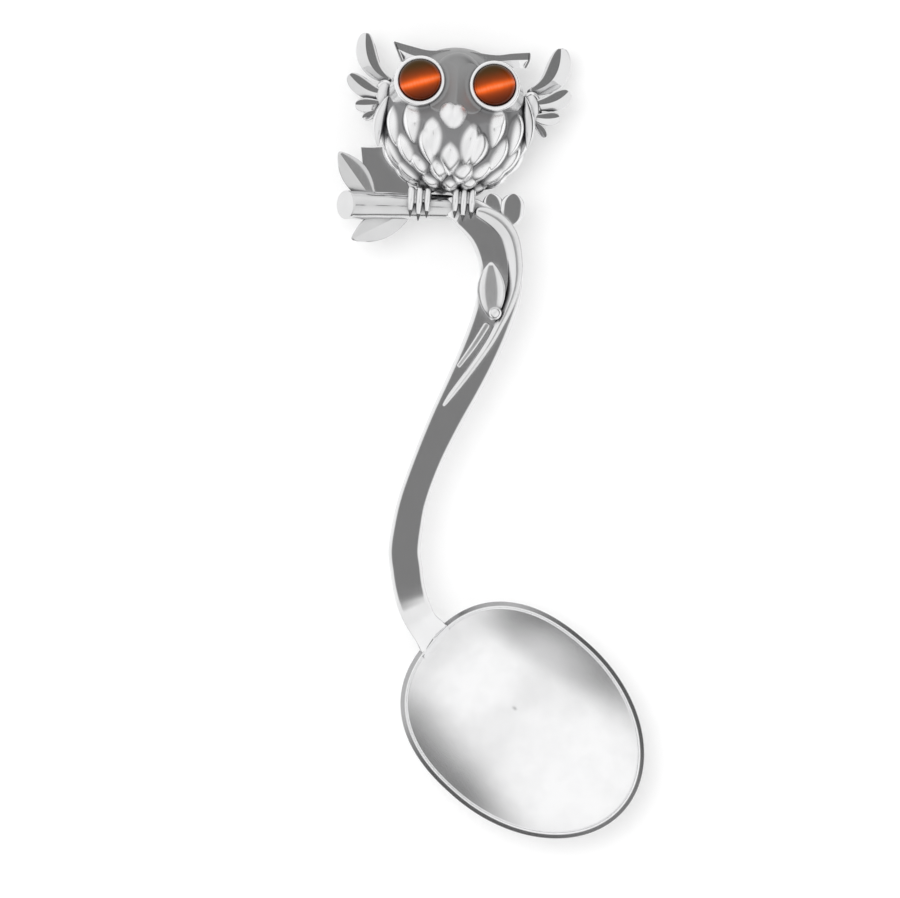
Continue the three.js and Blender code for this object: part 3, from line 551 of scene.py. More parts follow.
def feather_coat_tree():
    """Lays a feather at each seed point on a rounded body and draws the body's skin over them."""
    board = geometry_board("Feather coat")
    seeds, width, height, depth, rise, crown, columns, rows, finish = board.inlets([
        ("Seeds", "NodeSocketGeometry", None),
        ("Half width", "NodeSocketFloat", 0.0106),
        ("Half height", "NodeSocketFloat", 0.0102),
        ("Half depth", "NodeSocketFloat", 0.0086),
        ("Rise", "NodeSocketFloat", 0.001),
        ("Crown", "NodeSocketFloat", 0.0008),
        ("Columns", "NodeSocketInt", 360),
        ("Rows", "NodeSocketInt", 250),
        ("Finish", "NodeSocketMaterial", None),
    ])
    radii = board.add("ShaderNodeCombineXYZ", None, {0: width, 1: height, 2: depth})
    leaf = board.add("GeometryNodeMeshGrid", None, {0: 2.0, 1: 1.0, "Vertices X": 17, "Vertices Y": 25})
    leaf = board.stored(leaf, "spot", board.add("GeometryNodeInputPosition"))
    leaves = board.add("GeometryNodeInstanceOnPoints", None, {"Points": seeds, "Instance": leaf})
    leaves = board.add("GeometryNodeRealizeInstances", None, {0: leaves})
    across, middle, _ = board.parts(board.attribute("spot", "FLOAT_VECTOR"))
    down = middle + 0.5
    outline = ((down ** 0.8) * math.pi).math("SINE") ** 0.85
    latitude = board.attribute("latitude") - down * board.attribute("feather_length") / height
    flat = latitude.math("COSINE")
    sweep = across * outline * board.attribute("feather_width") * 0.5
    longitude = board.attribute("longitude") + sweep / (width * flat)
    x = flat * longitude.math("SINE")
    y = latitude.math("SINE")
    z = flat * longitude.math("COSINE")
    way = board.add("ShaderNodeCombineXYZ", None, {0: x, 1: y, 2: z})
    on_body = board.vector("MULTIPLY", way, radii)
    out = board.vector("NORMALIZE", board.vector("DIVIDE", way, radii))
    dome = crown * outline * (1.0 - abs(across) ** 1.6) + rise * (down - 0.45)
    lifted = board.vector("ADD", on_body, board.scaled(out, dome))
    coat = board.add("GeometryNodeSetPosition", None, {0: leaves, "Position": lifted})

    ball = board.add("GeometryNodeMeshUVSphere", None, {"Segments": columns, "Rings": rows, "Radius": 1.0})
    ball = board.add("GeometryNodeTransform", None, {0: ball, "Rotation": (math.pi / 2, 0, 0)})
    spot = board.add("GeometryNodeInputPosition")
    on_skin = board.vector("MULTIPLY", spot, radii)
    skin = board.add("GeometryNodeSetPosition", None, {0: ball, "Position": on_skin})
    normal = board.add("GeometryNodeInputNormal")
    reach = 0.003
    source = board.vector("ADD", spot, board.scaled(normal, reach))
    ray = {
        "Target Geometry": coat,
        "Source Position": source,
        "Ray Direction": board.scaled(normal, -1.0),
        "Ray Length": reach,
    }
    met, place = ray_hit(board, ray)
    proud = board.vector("DISTANCE", place, spot, output="Value") * met
    skin = board.stored(skin, "proud", proud, "FLOAT")
    skin = board.add("GeometryNodeSetPosition", None, {0: skin, "Selection": met, "Position": place})
    board.outlet(skin, finish)
    return board.tree


def ray_hit(board, values):
    """Whether a ray meets its target, and where."""
    met = board.add("GeometryNodeRaycast", None, values, "Is Hit")
    return met, Term(board, board.socket(met.socket.node.outputs, "Hit Position"))


def unit(vectors):
    return vectors / np.linalg.norm(vectors, axis=-1, keepdims=True)


def resampled(rows, count):
    """Rows at even steps along the length of a line of rows."""
    steps = np.linalg.norm(np.diff(rows[:, :3], axis=0), axis=1)
    travelled = np.concatenate([[0], np.cumsum(steps)])
    wanted = np.linspace(0, travelled[-1], count)
    return np.column_stack([np.interp(wanted, travelled, column) for column in rows.T])


def smooth_course(rows, count):
    """Rows at even steps along a smooth curve through the given rows."""
    rows = np.asarray(rows, float)
    knots = np.vstack([2 * rows[0] - rows[1], rows, 2 * rows[-1] - rows[-2]])
    weight = np.linspace(0, 1, 24, endpoint=False)[:, None]
    fine = []
    for p0, p1, p2, p3 in zip(knots, knots[1:], knots[2:], knots[3:]):
        gaps = [np.linalg.norm((b - a)[:3]) ** 0.5 for a, b in ((p0, p1), (p1, p2), (p2, p3))]
        start = ((p1 - p0) / gaps[0] - (p2 - p0) / (gaps[0] + gaps[1]) + (p2 - p1) / gaps[1]) * gaps[1]
        end = ((p2 - p1) / gaps[1] - (p3 - p1) / (gaps[1] + gaps[2]) + (p3 - p2) / gaps[2]) * gaps[1]
        square = 3 * (p2 - p1) - 2 * start - end
        cube = 2 * (p1 - p2) + start + end
        fine.append(p1 + start * weight + square * weight**2 + cube * weight**3)
    return resampled(np.vstack([*fine, rows[-1:]]), count)


def directions(points, facing):
    """Sideways and outward directions at the points of a line."""
    along = unit(np.gradient(points, axis=0))
    side = unit(np.cross(np.broadcast_to(facing, points.shape), along))
    return side, np.cross(along, side)


def route(points, half_width, half_thick=None, cup=0.0, facing=UP):
    """A line for the section tree with what its points carry."""
    points = np.asarray(points, float)
    half_thick = half_width if half_thick is None else half_thick
    count = len(points)
    return {
        "points": points,
        "half_width": np.broadcast_to(half_width, count),
        "half_thick": np.broadcast_to(half_thick, count),
        "cup": np.broadcast_to(cup, count),
        "along": unit(np.gradient(points, axis=0)),
        "facing": np.broadcast_to(np.asarray(facing, float), points.shape),
    }


def rounded_ends(points, radius):
    """Radii that close a strand with round ends."""
    steps = np.linalg.norm(np.diff(points, axis=0), axis=1)
    travelled = np.concatenate([[0], np.cumsum(steps)])
    nearest = np.minimum(travelled, travelled[-1] - travelled)
    depth = np.clip(1 - nearest / radius, 0, 0.995)
    return radius * np.sqrt(1 - depth**2)


def close_set(count):
    """Shares from 0 to 1 that crowd towards both ends."""
    return 0.5 - 0.5 * np.cos(np.linspace(0, np.pi, count))


def blade(points, width, thick, cup=0.0, fullest=0.5, point=0.8, facing=UP, steps=56, even=False):
    """A leaf or feather through a root, a bend and a tip, widest at the share "fullest".

    Where it is even, its thickness stays the same up to its ends.
    """
    root, bend, tip = (np.asarray(place, float) for place in points)
    along = close_set(steps)
    t = along[:, None]
    line = (1 - t) ** 2 * root + 2 * t * (1 - t) * bend + t**2 * tip
    skew = math.log(0.5) / math.log(fullest)
    swell = 0.05 + 0.95 * np.clip(np.sin(np.pi * along**skew), 0, 1) ** point
    depth = np.sqrt(np.clip(4 * swell, 0, 1)) if even else swell
    return route(line, swell * width / 2, depth * thick / 2, cup * swell, facing)


def bowed(root, tip, bow, direction):
    return (np.asarray(root) + np.asarray(tip)) / 2 + np.asarray(direction) * bow


def plain_mesh(holder):
    """The evaluated mesh of an object, which is then removed."""
    depsgraph = bpy.context.evaluated_depsgraph_get()
    mesh = bpy.data.meshes.new_from_object(holder.evaluated_get(depsgraph), depsgraph=depsgraph)
    bpy.data.objects.remove(holder)
    return mesh


def held(name, mesh):
    """A new object in the scene that holds a mesh."""
    holder = bpy.data.objects.new(name, mesh)
    bpy.context.scene.collection.objects.link(holder)
    return holder


def grown(base, tree, values):
    """The plain mesh that a node tree makes from a base mesh."""
    holder = held("base", base)
    modifier = holder.modifiers.new("Shape", "NODES")
    modifier.node_group = tree
    for item in tree.interface.items_tree:
        if item.in_out == "INPUT" and item.name in values:
            modifier[item.identifier] = values[item.name]
    return plain_mesh(holder)


def point_data(mesh, name, values):
    values = np.ascontiguousarray(values, np.float32)
    kind, field = ("FLOAT", "value") if values.ndim == 1 else ("FLOAT_VECTOR", "vector")
    mesh.attributes.new(name, kind, "POINT").data.foreach_set(field, values.ravel())


def swept(routes, finish, sides=None, squareness=2.0, slope=0.0):
    """The mesh of a section swept along routes; with a slope, one half of it falls away."""
    base = bpy.data.meshes.new("routes")
    edges = []
    start = 0
    for line in routes:
        count = len(line["points"])
        edges += [(start + i, start + i + 1) for i in range(count - 1)]
        start += count
    base.from_pydata(np.vstack([line["points"] for line in routes]).tolist(), edges, [])
    for key in ("half_width", "half_thick", "cup", "along", "facing"):
        point_data(base, key, np.concatenate([line[key] for line in routes]))
    tree = bpy.data.node_groups.get("Section along routes") or section_tree()
    values = {
        "Sides": sides or settings().segments,
        "Squareness": float(squareness),
        "Slope": float(slope),
        "Finish": finish,
    }
    return tidied(grown(base, tree, values))


def tidied(mesh, keep=()):
    """Merges doubles, turns the faces outwards and drops the helper attributes."""
    work = bmesh.new()
    work.from_mesh(mesh)
    bmesh.ops.remove_doubles(work, verts=work.verts, dist=1e-7)
    bmesh.ops.recalc_face_normals(work, faces=work.faces)
    work.to_mesh(mesh)
    work.free()
    for attribute in list(mesh.attributes):
        if not attribute.is_required and not attribute.is_internal and attribute.name not in keep:
            mesh.attributes.remove(attribute)
    return mesh


def lofted(rings):
    """A closed skin through rings of points, with each end closed to a point in its middle."""
    rings = [np.asarray(ring, float) for ring in rings]
    count = len(rings[0])
    last = (len(rings) - 1) * count
    points = np.vstack([*rings, rings[0].mean(0), rings[-1].mean(0)])
    first_pole, last_pole = len(points) - 2, len(points) - 1
    faces = []
    for start in range(0, last, count):
        for k in range(count):
            n = (k + 1) % count
            faces.append((start + k, start + n, start + count + n, start + count + k))
    for k in range(count):
        n = (k + 1) % count
        faces += [(first_pole, n, k), (last_pole, last + k, last + n)]
    mesh = bpy.data.meshes.new("skin")
    mesh.from_pydata(points.tolist(), [], faces)
    return tidied(mesh)


def circle(sides):
    """Points round a circle of radius 1 about +Z."""
    angle = np.linspace(0, 2 * np.pi, sides, endpoint=False)
    return np.column_stack([np.cos(angle), np.sin(angle), np.zeros(sides)])


def lathed(profile, sides=96):
    """A closed skin of rings about +Z through a profile of radius and height."""
    return lofted([circle(sides) * max(radius, 1e-6) + UP * height for radius, height in profile])


def ellipsoid(centre, radii, rings=32):
    """A rounded lump for casting together with other lumps."""
    steepest = np.pi / 2 - 0.02
    mesh = lathed([(math.cos(a), math.sin(a)) for a in np.linspace(-steepest, steepest, rings)], 48)
    mesh.transform(Matrix.Translation(Vector(centre)) @ Matrix.Diagonal((*radii, 1)))
    return mesh


def joined(meshes):
    work = bmesh.new()
    for mesh in meshes:
        work.from_mesh(mesh)
    mesh = bpy.data.meshes.new("joined")
    work.to_mesh(mesh)
    work.free()
    return mesh


def add_polish(holder, passes):
    polish = holder.modifiers.new("Polish", "SMOOTH")
    polish.factor = 0.5
    polish.iterations = passes


def cast_together(meshes, grain, passes):
    """Several closed skins cast as one and polished."""
    holder = held("casting", joined(meshes))
    remesh = holder.modifiers.new("Cast", "REMESH")
    remesh.mode = "VOXEL"
    remesh.voxel_size = grain
    add_polish(holder, passes)
    return tidied(plain_mesh(holder))


def cut_away(mesh, tool):
    """A mesh without the part of it that lies inside a tool."""
    cutter = held("cutter", tool)
    holder = held("blank", mesh)
    cut = holder.modifiers.new("Cut", "BOOLEAN")
    cut.operation = "DIFFERENCE"
    cut.solver = "MANIFOLD"
    cut.object = cutter
    result = plain_mesh(holder)
    bpy.data.objects.remove(cutter)
    return tidied(result)


def set_piece(mesh, finish, node, name=None, place=None, crease=None):
    """Makes a finished piece that stands for a solid of the part, with its creases left sharp."""
    name = "spoon_" + (name or node)
    if not mesh.polygons:
        raise RuntimeError(name + " came out empty")
    if place:
        mesh.transform(place)
    mesh.materials.clear()
    mesh.materials.append(finish)
    mesh.shade_smooth()
    if crease:
        mesh.set_sharp_from_angle(angle=math.radians(crease))
    mesh.name = name
    piece = held(name, mesh)
    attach(piece, "root")
    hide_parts(node)


def bowl_matrix():
    return Matrix.Rotation(settings().bowl.heading, 4, "Z")


def stem_course(count=600):
    """The stem's centre line in the part's frame, with its width and thickness."""
    sizes = settings()
    neck = bowl_matrix() @ Vector((-sizes.bowl.near, sizes.bowl.neck_shift, sizes.bowl.height))
    rows = np.array(STEM_ROUTE, float) * MM
    rows[:, 1] = rows[:, 1] / MM * sizes.stem.length
    rows[:, :3] += np.array(neck)
    return smooth_course(rows, count)


def at_shares(shares, rows):
    """Rows at shares of the length of an evenly stepped course."""
    along = np.linspace(0, 1, len(rows))
    return np.column_stack([np.interp(shares, along, column) for column in rows.T])


def on_stem(shares, across, lift):
    """Points over the front of the stem, at shares of its length."""
    course = stem_course()
    side, out = directions(course[:, :3], UP)
    places = at_shares(shares, course)
    aside = at_shares(shares, side) * np.reshape(across, (-1, 1))
    outward = np.reshape(places[:, 4] / 2 + lift, (-1, 1))
    return places[:, :3] + aside + at_shares(shares, out) * outward


def stem_strand(rows, lift, steps, highest):
    """A strand on the stem through rows of share, offset and radius; it sinks in towards its lower end."""
    shares, across, radii = np.array(rows, float).T
    sunk = lift - np.interp(shares, SINK_SHARES, [SINK * MM, 0])
    places = on_stem(shares, across * MM, sunk)
    course = smooth_course(np.column_stack([places, radii * MM]), steps)
    radius = rounded_ends(course[:, :3], course[:, 3])
    return route(course[:, :3], radius, np.minimum(radius, highest))


def perch_matrix():
    course = stem_course()
    heading = course[-1, :3] - course[-2, :3]
    turned = Matrix.Rotation(math.atan2(-heading[1], -heading[0]), 4, "Z")
    return Matrix.Translation(Vector(course[-1, :3])) @ turned


def owl_half():
    owl = settings().owl
    return np.array([owl.width, owl.height, owl.depth]) / 2


def owl_matrix():
    sizes = settings()
    owl = sizes.owl
    _, half_height, half_depth = owl_half()
    seat = perch_matrix() @ Vector((owl.along, 0, 0))
    reach = math.hypot(half_depth * math.cos(owl.lean), half_height * math.sin(owl.lean))
    rise = seat.y + half_height + sizes.branch.root + owl.seat_gap
    place = Matrix.Translation((seat.x, rise, reach - owl.back_flat))
    return place @ Matrix.Rotation(-owl.roll, 4, "Z") @ Matrix.Rotation(-owl.lean, 4, "X")


def on_owl(place, sign=1):
    return np.array([sign * place[0], place[1], place[2]]) * owl_half()


def level_points(place, spots):
    """Places on the owl in the part's frame, brought to one height."""
    points = np.array([place @ Vector(on_owl(spot)) for spot in spots])
    points[:, 2] = points[:, 2].mean()
    return points


def eye_matrix(sign):
    seat = Matrix.Translation(Vector(on_owl(EYE_PLACE, sign)))
    return owl_matrix() @ seat @ Matrix.Rotation(sign * settings().eyes.splay, 4, "Y")


def dished(mesh, depth):
    """Presses a mesh down round the eyes, so that the bezels stand that far clear of it."""
    places = np.array([vertex.co for vertex in mesh.vertices])
    sizes = settings().eyes
    lip = sizes.floor + sizes.gap + sizes.lip
    for sign in SIDES.values():
        eye = np.array(eye_matrix(sign))
        local = (places - eye[:3, 3]) @ eye[:3, :3]
        reach = np.hypot(local[:, 0], local[:, 1])
        highest = lip - depth + DISH_RISE * np.maximum(0, reach - DISH_REACH * MM)
        local[:, 2] = np.minimum(local[:, 2], highest)
        places = local @ eye[:3, :3].T + eye[:3, 3]
    mesh.vertices.foreach_set("co", places.astype(np.float32).ravel())
    mesh.update()


def material_board(name):
    material = bpy.data.materials.get(name)
    if material:
        return material, None, None
    material = bpy.data.materials.new(name)
    material.use_nodes = True
    nodes = material.node_tree.nodes
    return material, Board(material.node_tree), nodes["Principled BSDF"]


def feed(board, shader, name, value):
    board.tree.links.new(value.socket, shader.inputs[name])


def silver(name, roughness, shade=1.0, hollow=HOLLOW_REACH, relief=None, edge=0.0):
    """Polished silver with fine wipe marks, a little unevenness and darkened hollows, partly its own tarnish
    and partly painted shade.

    Its shade scales its colour: painted shade below 1, painted light above 1. With a relief, only what stands
    proud by that much is polished and the ground is left grey, a painted shade between the raised parts.
    With an edge, the silver is darker by that share where its edge attribute is set, a painted shade.
    """
    material, board, shader = material_board(name)
    if board is None:
        return material
    looks = settings().finishes
    shader.inputs["Metallic"].default_value = 1.0
    place = board.add("ShaderNodeTexCoord", None, None, "Object")
    cloud = board.add("ShaderNodeTexNoise", None, {"Vector": place, "Scale": CLOUD_SCALE, "Detail": 3.0})
    drawn = {0: place, "Scale": (1.0, 0.12, 1.0), "Rotation": (0, 0, 0.5)}
    stretched = board.add("ShaderNodeMapping", None, drawn)
    wipes = board.add("ShaderNodeTexNoise", None, {"Vector": stretched, "Scale": WIPE_SCALE, "Detail": 4.0})
    # Patina and painted shade: darker where nearby silver shuts out the sky
    open_sky = board.add("ShaderNodeAmbientOcclusion", {"samples": 8}, {"Distance": hollow}, "AO")
    shut = board.ranged(open_sky, 0.2, 0.92, 1.0, 0.0)
    tone = [shade * channel for channel in looks.silver]
    faint = [shade * channel * 0.955 for channel in looks.silver]
    clean = board.mixed(board.ranged(cloud, 0.35, 0.7), (*tone, 1), (*faint, 1))
    # The grey ground left between raised parts is painted shade
    if relief:
        proud = board.add("ShaderNodeAttribute", {"attribute_name": "proud"}, None, "Fac")
        ground = board.ranged(proud, 0.15 * relief, relief, 1.0, 0.0)
        clean = board.mixed(ground, clean, (*looks.ground, 1))
        roughness = roughness + 0.16 * ground
    # Painted shade: the bowl's dark edge outside its rim
    if edge:
        rim_shade = board.add("ShaderNodeAttribute", {"attribute_name": "edge"}, None, "Fac")
        clean = board.mixed(rim_shade * edge, clean, (*looks.patina_and_shade, 1))
    feed(board, shader, "Base Color", board.mixed(shut * 0.85, clean, (*looks.patina_and_shade, 1)))
    feed(board, shader, "Roughness", roughness + 0.03 * cloud + 0.05 * wipes + 0.25 * shut - 0.04)
    bump = board.add("ShaderNodeBump", None, {"Height": wipes, "Strength": 0.05, "Distance": 0.00001})
    feed(board, shader, "Normal", bump)
    return material


def cat_eye(name, centre, axis_turn):
    """Polished stone with a band of light painted across its dome: a painted silky sheen, with a painted
    highlight in its middle.
    """
    material, board, shader = material_board(name)
    if board is None:
        return material
    looks = settings().finishes
    shader.inputs["Roughness"].default_value = 0.1
    shader.inputs["Specular IOR Level"].default_value = 0.12
    place = board.add("ShaderNodeTexCoord", None, None, "Object")
    moved = board.vector("SUBTRACT", place, tuple(centre))
    turned = board.add("ShaderNodeMapping", None, {0: moved, "Rotation": (0, 0, -axis_turn)})
    along, across, _ = board.parts(turned)
    radius = settings().eyes.stone / 2
    fibres = board.add("ShaderNodeMapping", None, {0: turned, "Scale": (1.0, 0.08, 0.3)})
    silk = board.add("ShaderNodeTexNoise", None, {"Vector": fibres, "Scale": SILK_SCALE, "Detail": 3.0})
    drift = board.add("ShaderNodeTexNoise", None, {"Vector": turned, "Scale": DRIFT_SCALE, "Detail": 2.0})
    spread = across / radius + 0.06 * (drift - 0.5) + 0.05
    thin = 0.2 - 0.05 * abs(along / radius)
    glow = (0.0 - (spread / thin) ** 2.0).math("EXPONENT") * (0.6 + 0.5 * silk)
    halo = (0.0 - (spread / 0.48) ** 2.0).math("EXPONENT") * 0.4
    upper = board.ranged(across / radius, -0.1, 0.9)
    ground = board.mixed(upper, (*looks.stone_dark, 1), (*looks.stone_olive, 1))
    warm = board.mixed((glow + halo).math("MINIMUM", 1.0), ground, (*looks.stone_band, 1))
    # Painted highlight in the middle of the band
    band_highlight = board.ranged(glow, 0.55, 1.05, 0.0, 0.5)
    feed(board, shader, "Base Color", board.mixed(band_highlight, warm, (*looks.stone_band_highlight, 1)))
    return material


def piece_finish(kind="polished"):
    """Silver of one kind: its name, roughness, shade, reach of its darkened hollows, relief and painted dark
    edge.
    """
    looks = settings().finishes
    # Shades under 1 are painted shade, on the cast, branch, crown, wing, foot and claw silvers; shades over 1
    # are painted light, on the bowl and the beak. The coat's grey ground and the bowl's dark edge are painted
    # shade.
    kinds = {
        "polished": ("silver_polished", looks.polish),
        "bowl": ("silver_satin", looks.satin, 1.06, HOLLOW_REACH, None, 0.5),
        "cast": ("silver_cast", 0.15, 0.9),
        "branch": ("silver_branch_painted_shade", 0.14, 0.78),
        "coat": ("silver_feathered", 0.2, 1.0, 0.002, 0.0006),
        "crown": ("silver_shaded", 0.34, 0.335, 0.0006),
        "beak": ("silver_matt", 0.42, 1.03),
        "wing": ("silver_shadowed", looks.polish, 0.87),
        "foot": ("silver_foot_painted_shade", 0.13, 0.93, 0.0026),
        "claw": ("silver_claw_painted_shade", 0.3, 0.16),
        "bezel": ("silver_soft", 0.24),
    }
    return silver(*kinds[kind])


def bowl_ring(share, grow, z, sides=240):
    """A ring of the bowl at a share of its outline, grown by a length, at a height."""
    sizes = settings().bowl
    x, y, _ = circle(sides).T
    power = np.where(x < 0, 2 / sizes.blunt, 1.0)
    reach = np.where(x < 0, sizes.near, sizes.far) * share + grow
    half = sizes.width / 2 * share + grow
    long_way = reach * np.sign(x) * np.abs(x) ** power
    short_way = half * np.sign(y) * np.abs(y) ** power
    turned = np.array(bowl_matrix().to_3x3())
    return np.column_stack([long_way, short_way, np.full(sides, z)]) @ turned.T


def outer_rise(share):
    """How high the bowl's outside is at a share of its outline, as a share of its height."""
    sizes = settings().bowl
    foot = (sizes.foot / (sizes.near + sizes.far)) ** sizes.steepness
    return max(0.0, (share**sizes.steepness - foot) / (1 - foot))


def bowl_filled(shrink):
    """The bowl filled and raised past its rim, a little smaller than it is."""
    height = settings().bowl.height
    rings = [bowl_ring(s, -shrink * s, outer_rise(s) * height + shrink) for s in np.linspace(0.05, 1, 40)]
    return lofted([*rings, bowl_ring(1, -shrink, 2 * height)])


class SPOON_OT_bowl(bpy.types.Operator):
    """Make the bowl with its rounded rim and flat foot"""

    bl_idname = "spoon.bowl"
    bl_label = "Bowl"
    bl_options = {"REGISTER", "UNDO"}

    def execute(self, context):
        sizes = settings().bowl
        edge = sizes.height - sizes.rim_round
        rings = [bowl_ring(s, 0, outer_rise(s) * edge) for s in np.linspace(0.02, 1, 60)]
        for inset, drop in RIM_PROFILE:
            rings.append(bowl_ring(1, -inset * sizes.wall, sizes.height - drop * sizes.rim_round))
        deepest = np.array([*sizes.deepest, 0])
        for s in np.linspace(1, 0.02, 80):
            z = edge - sizes.hollow * (1 - s**sizes.hollow_power)
            rings.append(bowl_ring(s, -sizes.wall * s, z) + deepest * (1 - s**2) ** 2)
        mesh = lofted(rings)
        # Painted shade: a dark band on the outside of the rim
        point_data(mesh, "edge", self.edge_band(mesh, sizes.height))
        set_piece(mesh, piece_finish("bowl"), "bowl")
        return {"FINISHED"}

    @staticmethod
    def edge_band(mesh, height):
        """How much each point belongs to the painted dark edge outside the rim, a painted shade."""
        places = np.array([vertex.co for vertex in mesh.vertices])
        normals = np.array([vertex.normal for vertex in mesh.vertices])
        away = np.maximum(np.linalg.norm(places[:, :2], axis=1), 1e-9)
        outward = (places[:, :2] * normals[:, :2]).sum(axis=1) / away
        below = height - places[:, 2]
        return np.clip(outward / EDGE_TURN - 1, 0, 1) * np.clip(2 - below / (EDGE_REACH * MM), 0, 1)


class SPOON_OT_stem(bpy.types.Operator):
    """Make the bevelled stem along its S-curve"""

    bl_idname = "spoon.stem"
    bl_label = "Stem"
    bl_options = {"REGISTER", "UNDO"}

    def execute(self, context):
        finish = piece_finish()
        course = stem_course(260)
        line = route(course[:, :3], course[:, 3] / 2, course[:, 4] / 2)
        bar = swept([line], finish, 96, settings().stem.squareness)
        set_piece(cut_away(bar, bowl_filled(STEM_SINK * MM)), finish, "stem")
        return {"FINISHED"}


class SPOON_OT_vine(bpy.types.Operator):
    """Make the vine, its stalk and the twig stub along the stem"""

    bl_idname = "spoon.vine"
    bl_label = "Vine"
    bl_options = {"REGISTER", "UNDO"}

    def execute(self, context):
        finish = piece_finish("cast")
        sizes = settings().stem
        vine = stem_strand(VINE_ROUTE, sizes.vine_lift, 200, VINE_HEIGHT * MM)
        set_piece(swept([vine], finish, squareness=4, slope=-0.45), finish, "vine")
        stalk = stem_strand(STALK_ROUTE, sizes.vine_lift, 80, STALK_HEIGHT * MM)
        set_piece(swept([stalk], finish, squareness=5), finish, "leaf_stalk")
        bright = piece_finish()
        lobes = [self.lobe(row, sizes.stub) for row in STUB_LOBES]
        set_piece(swept(lobes, bright, 96, squareness=9), bright, "twig_stub")
        return {"FINISHED"}

    @staticmethod
    def lobe(row, stub, steps=60):
        """A flat-topped lobe of the stub between both ends in a row."""
        *ends, wide = row
        low, high = np.array([perch_matrix() @ (Vector(place) * MM) for place in ends])
        points = low + close_set(steps)[:, None] * (high - low)
        return route(points, rounded_ends(points, np.full(steps, wide * stub)), 0.9 * stub)


class SPOON_OT_stem_leaf(bpy.types.Operator):
    """Make the cupped leaf on the stem and the bud at its foot"""

    bl_idname = "spoon.stem_leaf"
    bl_label = "Stem leaf"
    bl_options = {"REGISTER", "UNDO"}

    def execute(self, context):
        finish = piece_finish("cast")
        sizes = settings().stem
        shares, across = zip(*STEM_LEAF_ROUTE)
        points = on_stem(shares, np.array(across) * MM, sizes.leaf_thick / 2)
        leaf = blade(points, sizes.leaf_width, sizes.leaf_thick, sizes.leaf_cup, even=True)
        set_piece(swept([leaf], finish, 96, squareness=6), finish, "stem_leaf")
        share, aside = BUD_PLACE
        middle = on_stem([share], [aside * MM], sizes.leaf_thick + sizes.bud / 2)[0]
        reach = np.linspace(-1, 1, 60)
        line = middle + np.outer(reach, unit(points[1] - points[0])) * sizes.bud
        plump = np.sqrt(1 - (0.995 * reach) ** 2) * (1 + 0.08 * reach)
        set_piece(swept([route(line, plump * sizes.bud)], finish), finish, "bud")
        return {"FINISHED"}


class SPOON_OT_branch(bpy.types.Operator):
    """Make the perch branch with its slanting cut and the leaves on it"""

    bl_idname = "spoon.branch"
    bl_label = "Branch and leaves"
    bl_options = {"REGISTER", "UNDO"}

    def execute(self, context):
        # The branch and its leaves take a darker silver: painted shade
        finish = piece_finish("branch")
        sizes = settings().branch
        perch = perch_matrix()
        set_piece(lofted(self.branch_rings(sizes)), finish, "perch_branch", place=perch)
        for node, (along, tip, width, bow) in BRANCH_LEAVES.items():
            root = np.array([-along * MM, 0, 0])
            end = root + np.array(tip) * MM
            points = (root, bowed(root, end, bow * MM, UP), end)
            leaf = blade(points, width * MM, sizes.leaf_thick, fullest=0.55, even=True)
            mesh = swept([leaf], finish, 64, squareness=8, slope=0.4)
            set_piece(mesh, finish, node, place=perch, crease=16)
        set_piece(self.rear_leaf(sizes), piece_finish(), "rear_leaf", place=perch, crease=10)
        return {"FINISHED"}

    @staticmethod
    def branch_rings(sizes):
        """Rings of a slightly uneven branch that lean more and more towards the slant of its cut."""
        cosine, sine, _ = circle(64).T
        slant = math.tan(sizes.slant)
        rings = []
        for along in np.linspace(-0.15, 1, 46):
            swell = 1 + 0.012 * math.sin(along * 9) + 0.01 * math.sin(along * 23 + 1)
            radius = (sizes.root + (sizes.cut - sizes.root) * along) * swell
            lean = slant * radius * sine * max(along, 0) ** 6
            rings.append(np.column_stack([lean - along * sizes.length, radius * cosine, radius * sine]))
        end = rings[-1]
        for inset, out in CUT_RINGS:
            ring = end * np.array([1, inset, inset])
            ring[:, 0] = -sizes.length - out * MM + (end[:, 0] + sizes.length) * inset
            rings.append(ring)
        return rings

    @staticmethod
    def rear_leaf(sizes):
        """A flat plate with bevelled edges."""
        outline = [(x * MM, sizes.rear_height if y is None else y * MM) for x, y in REAR_CORNERS]
        levels = (-sizes.rear_back - sizes.rear_thick / 2, -sizes.rear_back + sizes.rear_thick / 2)
        points = [(x, y, z) for z in levels for x, y in outline]
        faces = [(3, 2, 1, 0), (4, 5, 6, 7)] + [(k, (k + 1) % 4, 4 + (k + 1) % 4, 4 + k) for k in range(4)]
        mesh = bpy.data.meshes.new("plate")
        mesh.from_pydata(points, [], faces)
        holder = held("plate", tidied(mesh))
        bevel = holder.modifiers.new("Edges", "BEVEL")
        bevel.width = REAR_BEVEL * MM
        bevel.segments = 4
        bevel.harden_normals = True
        return plain_mesh(holder)


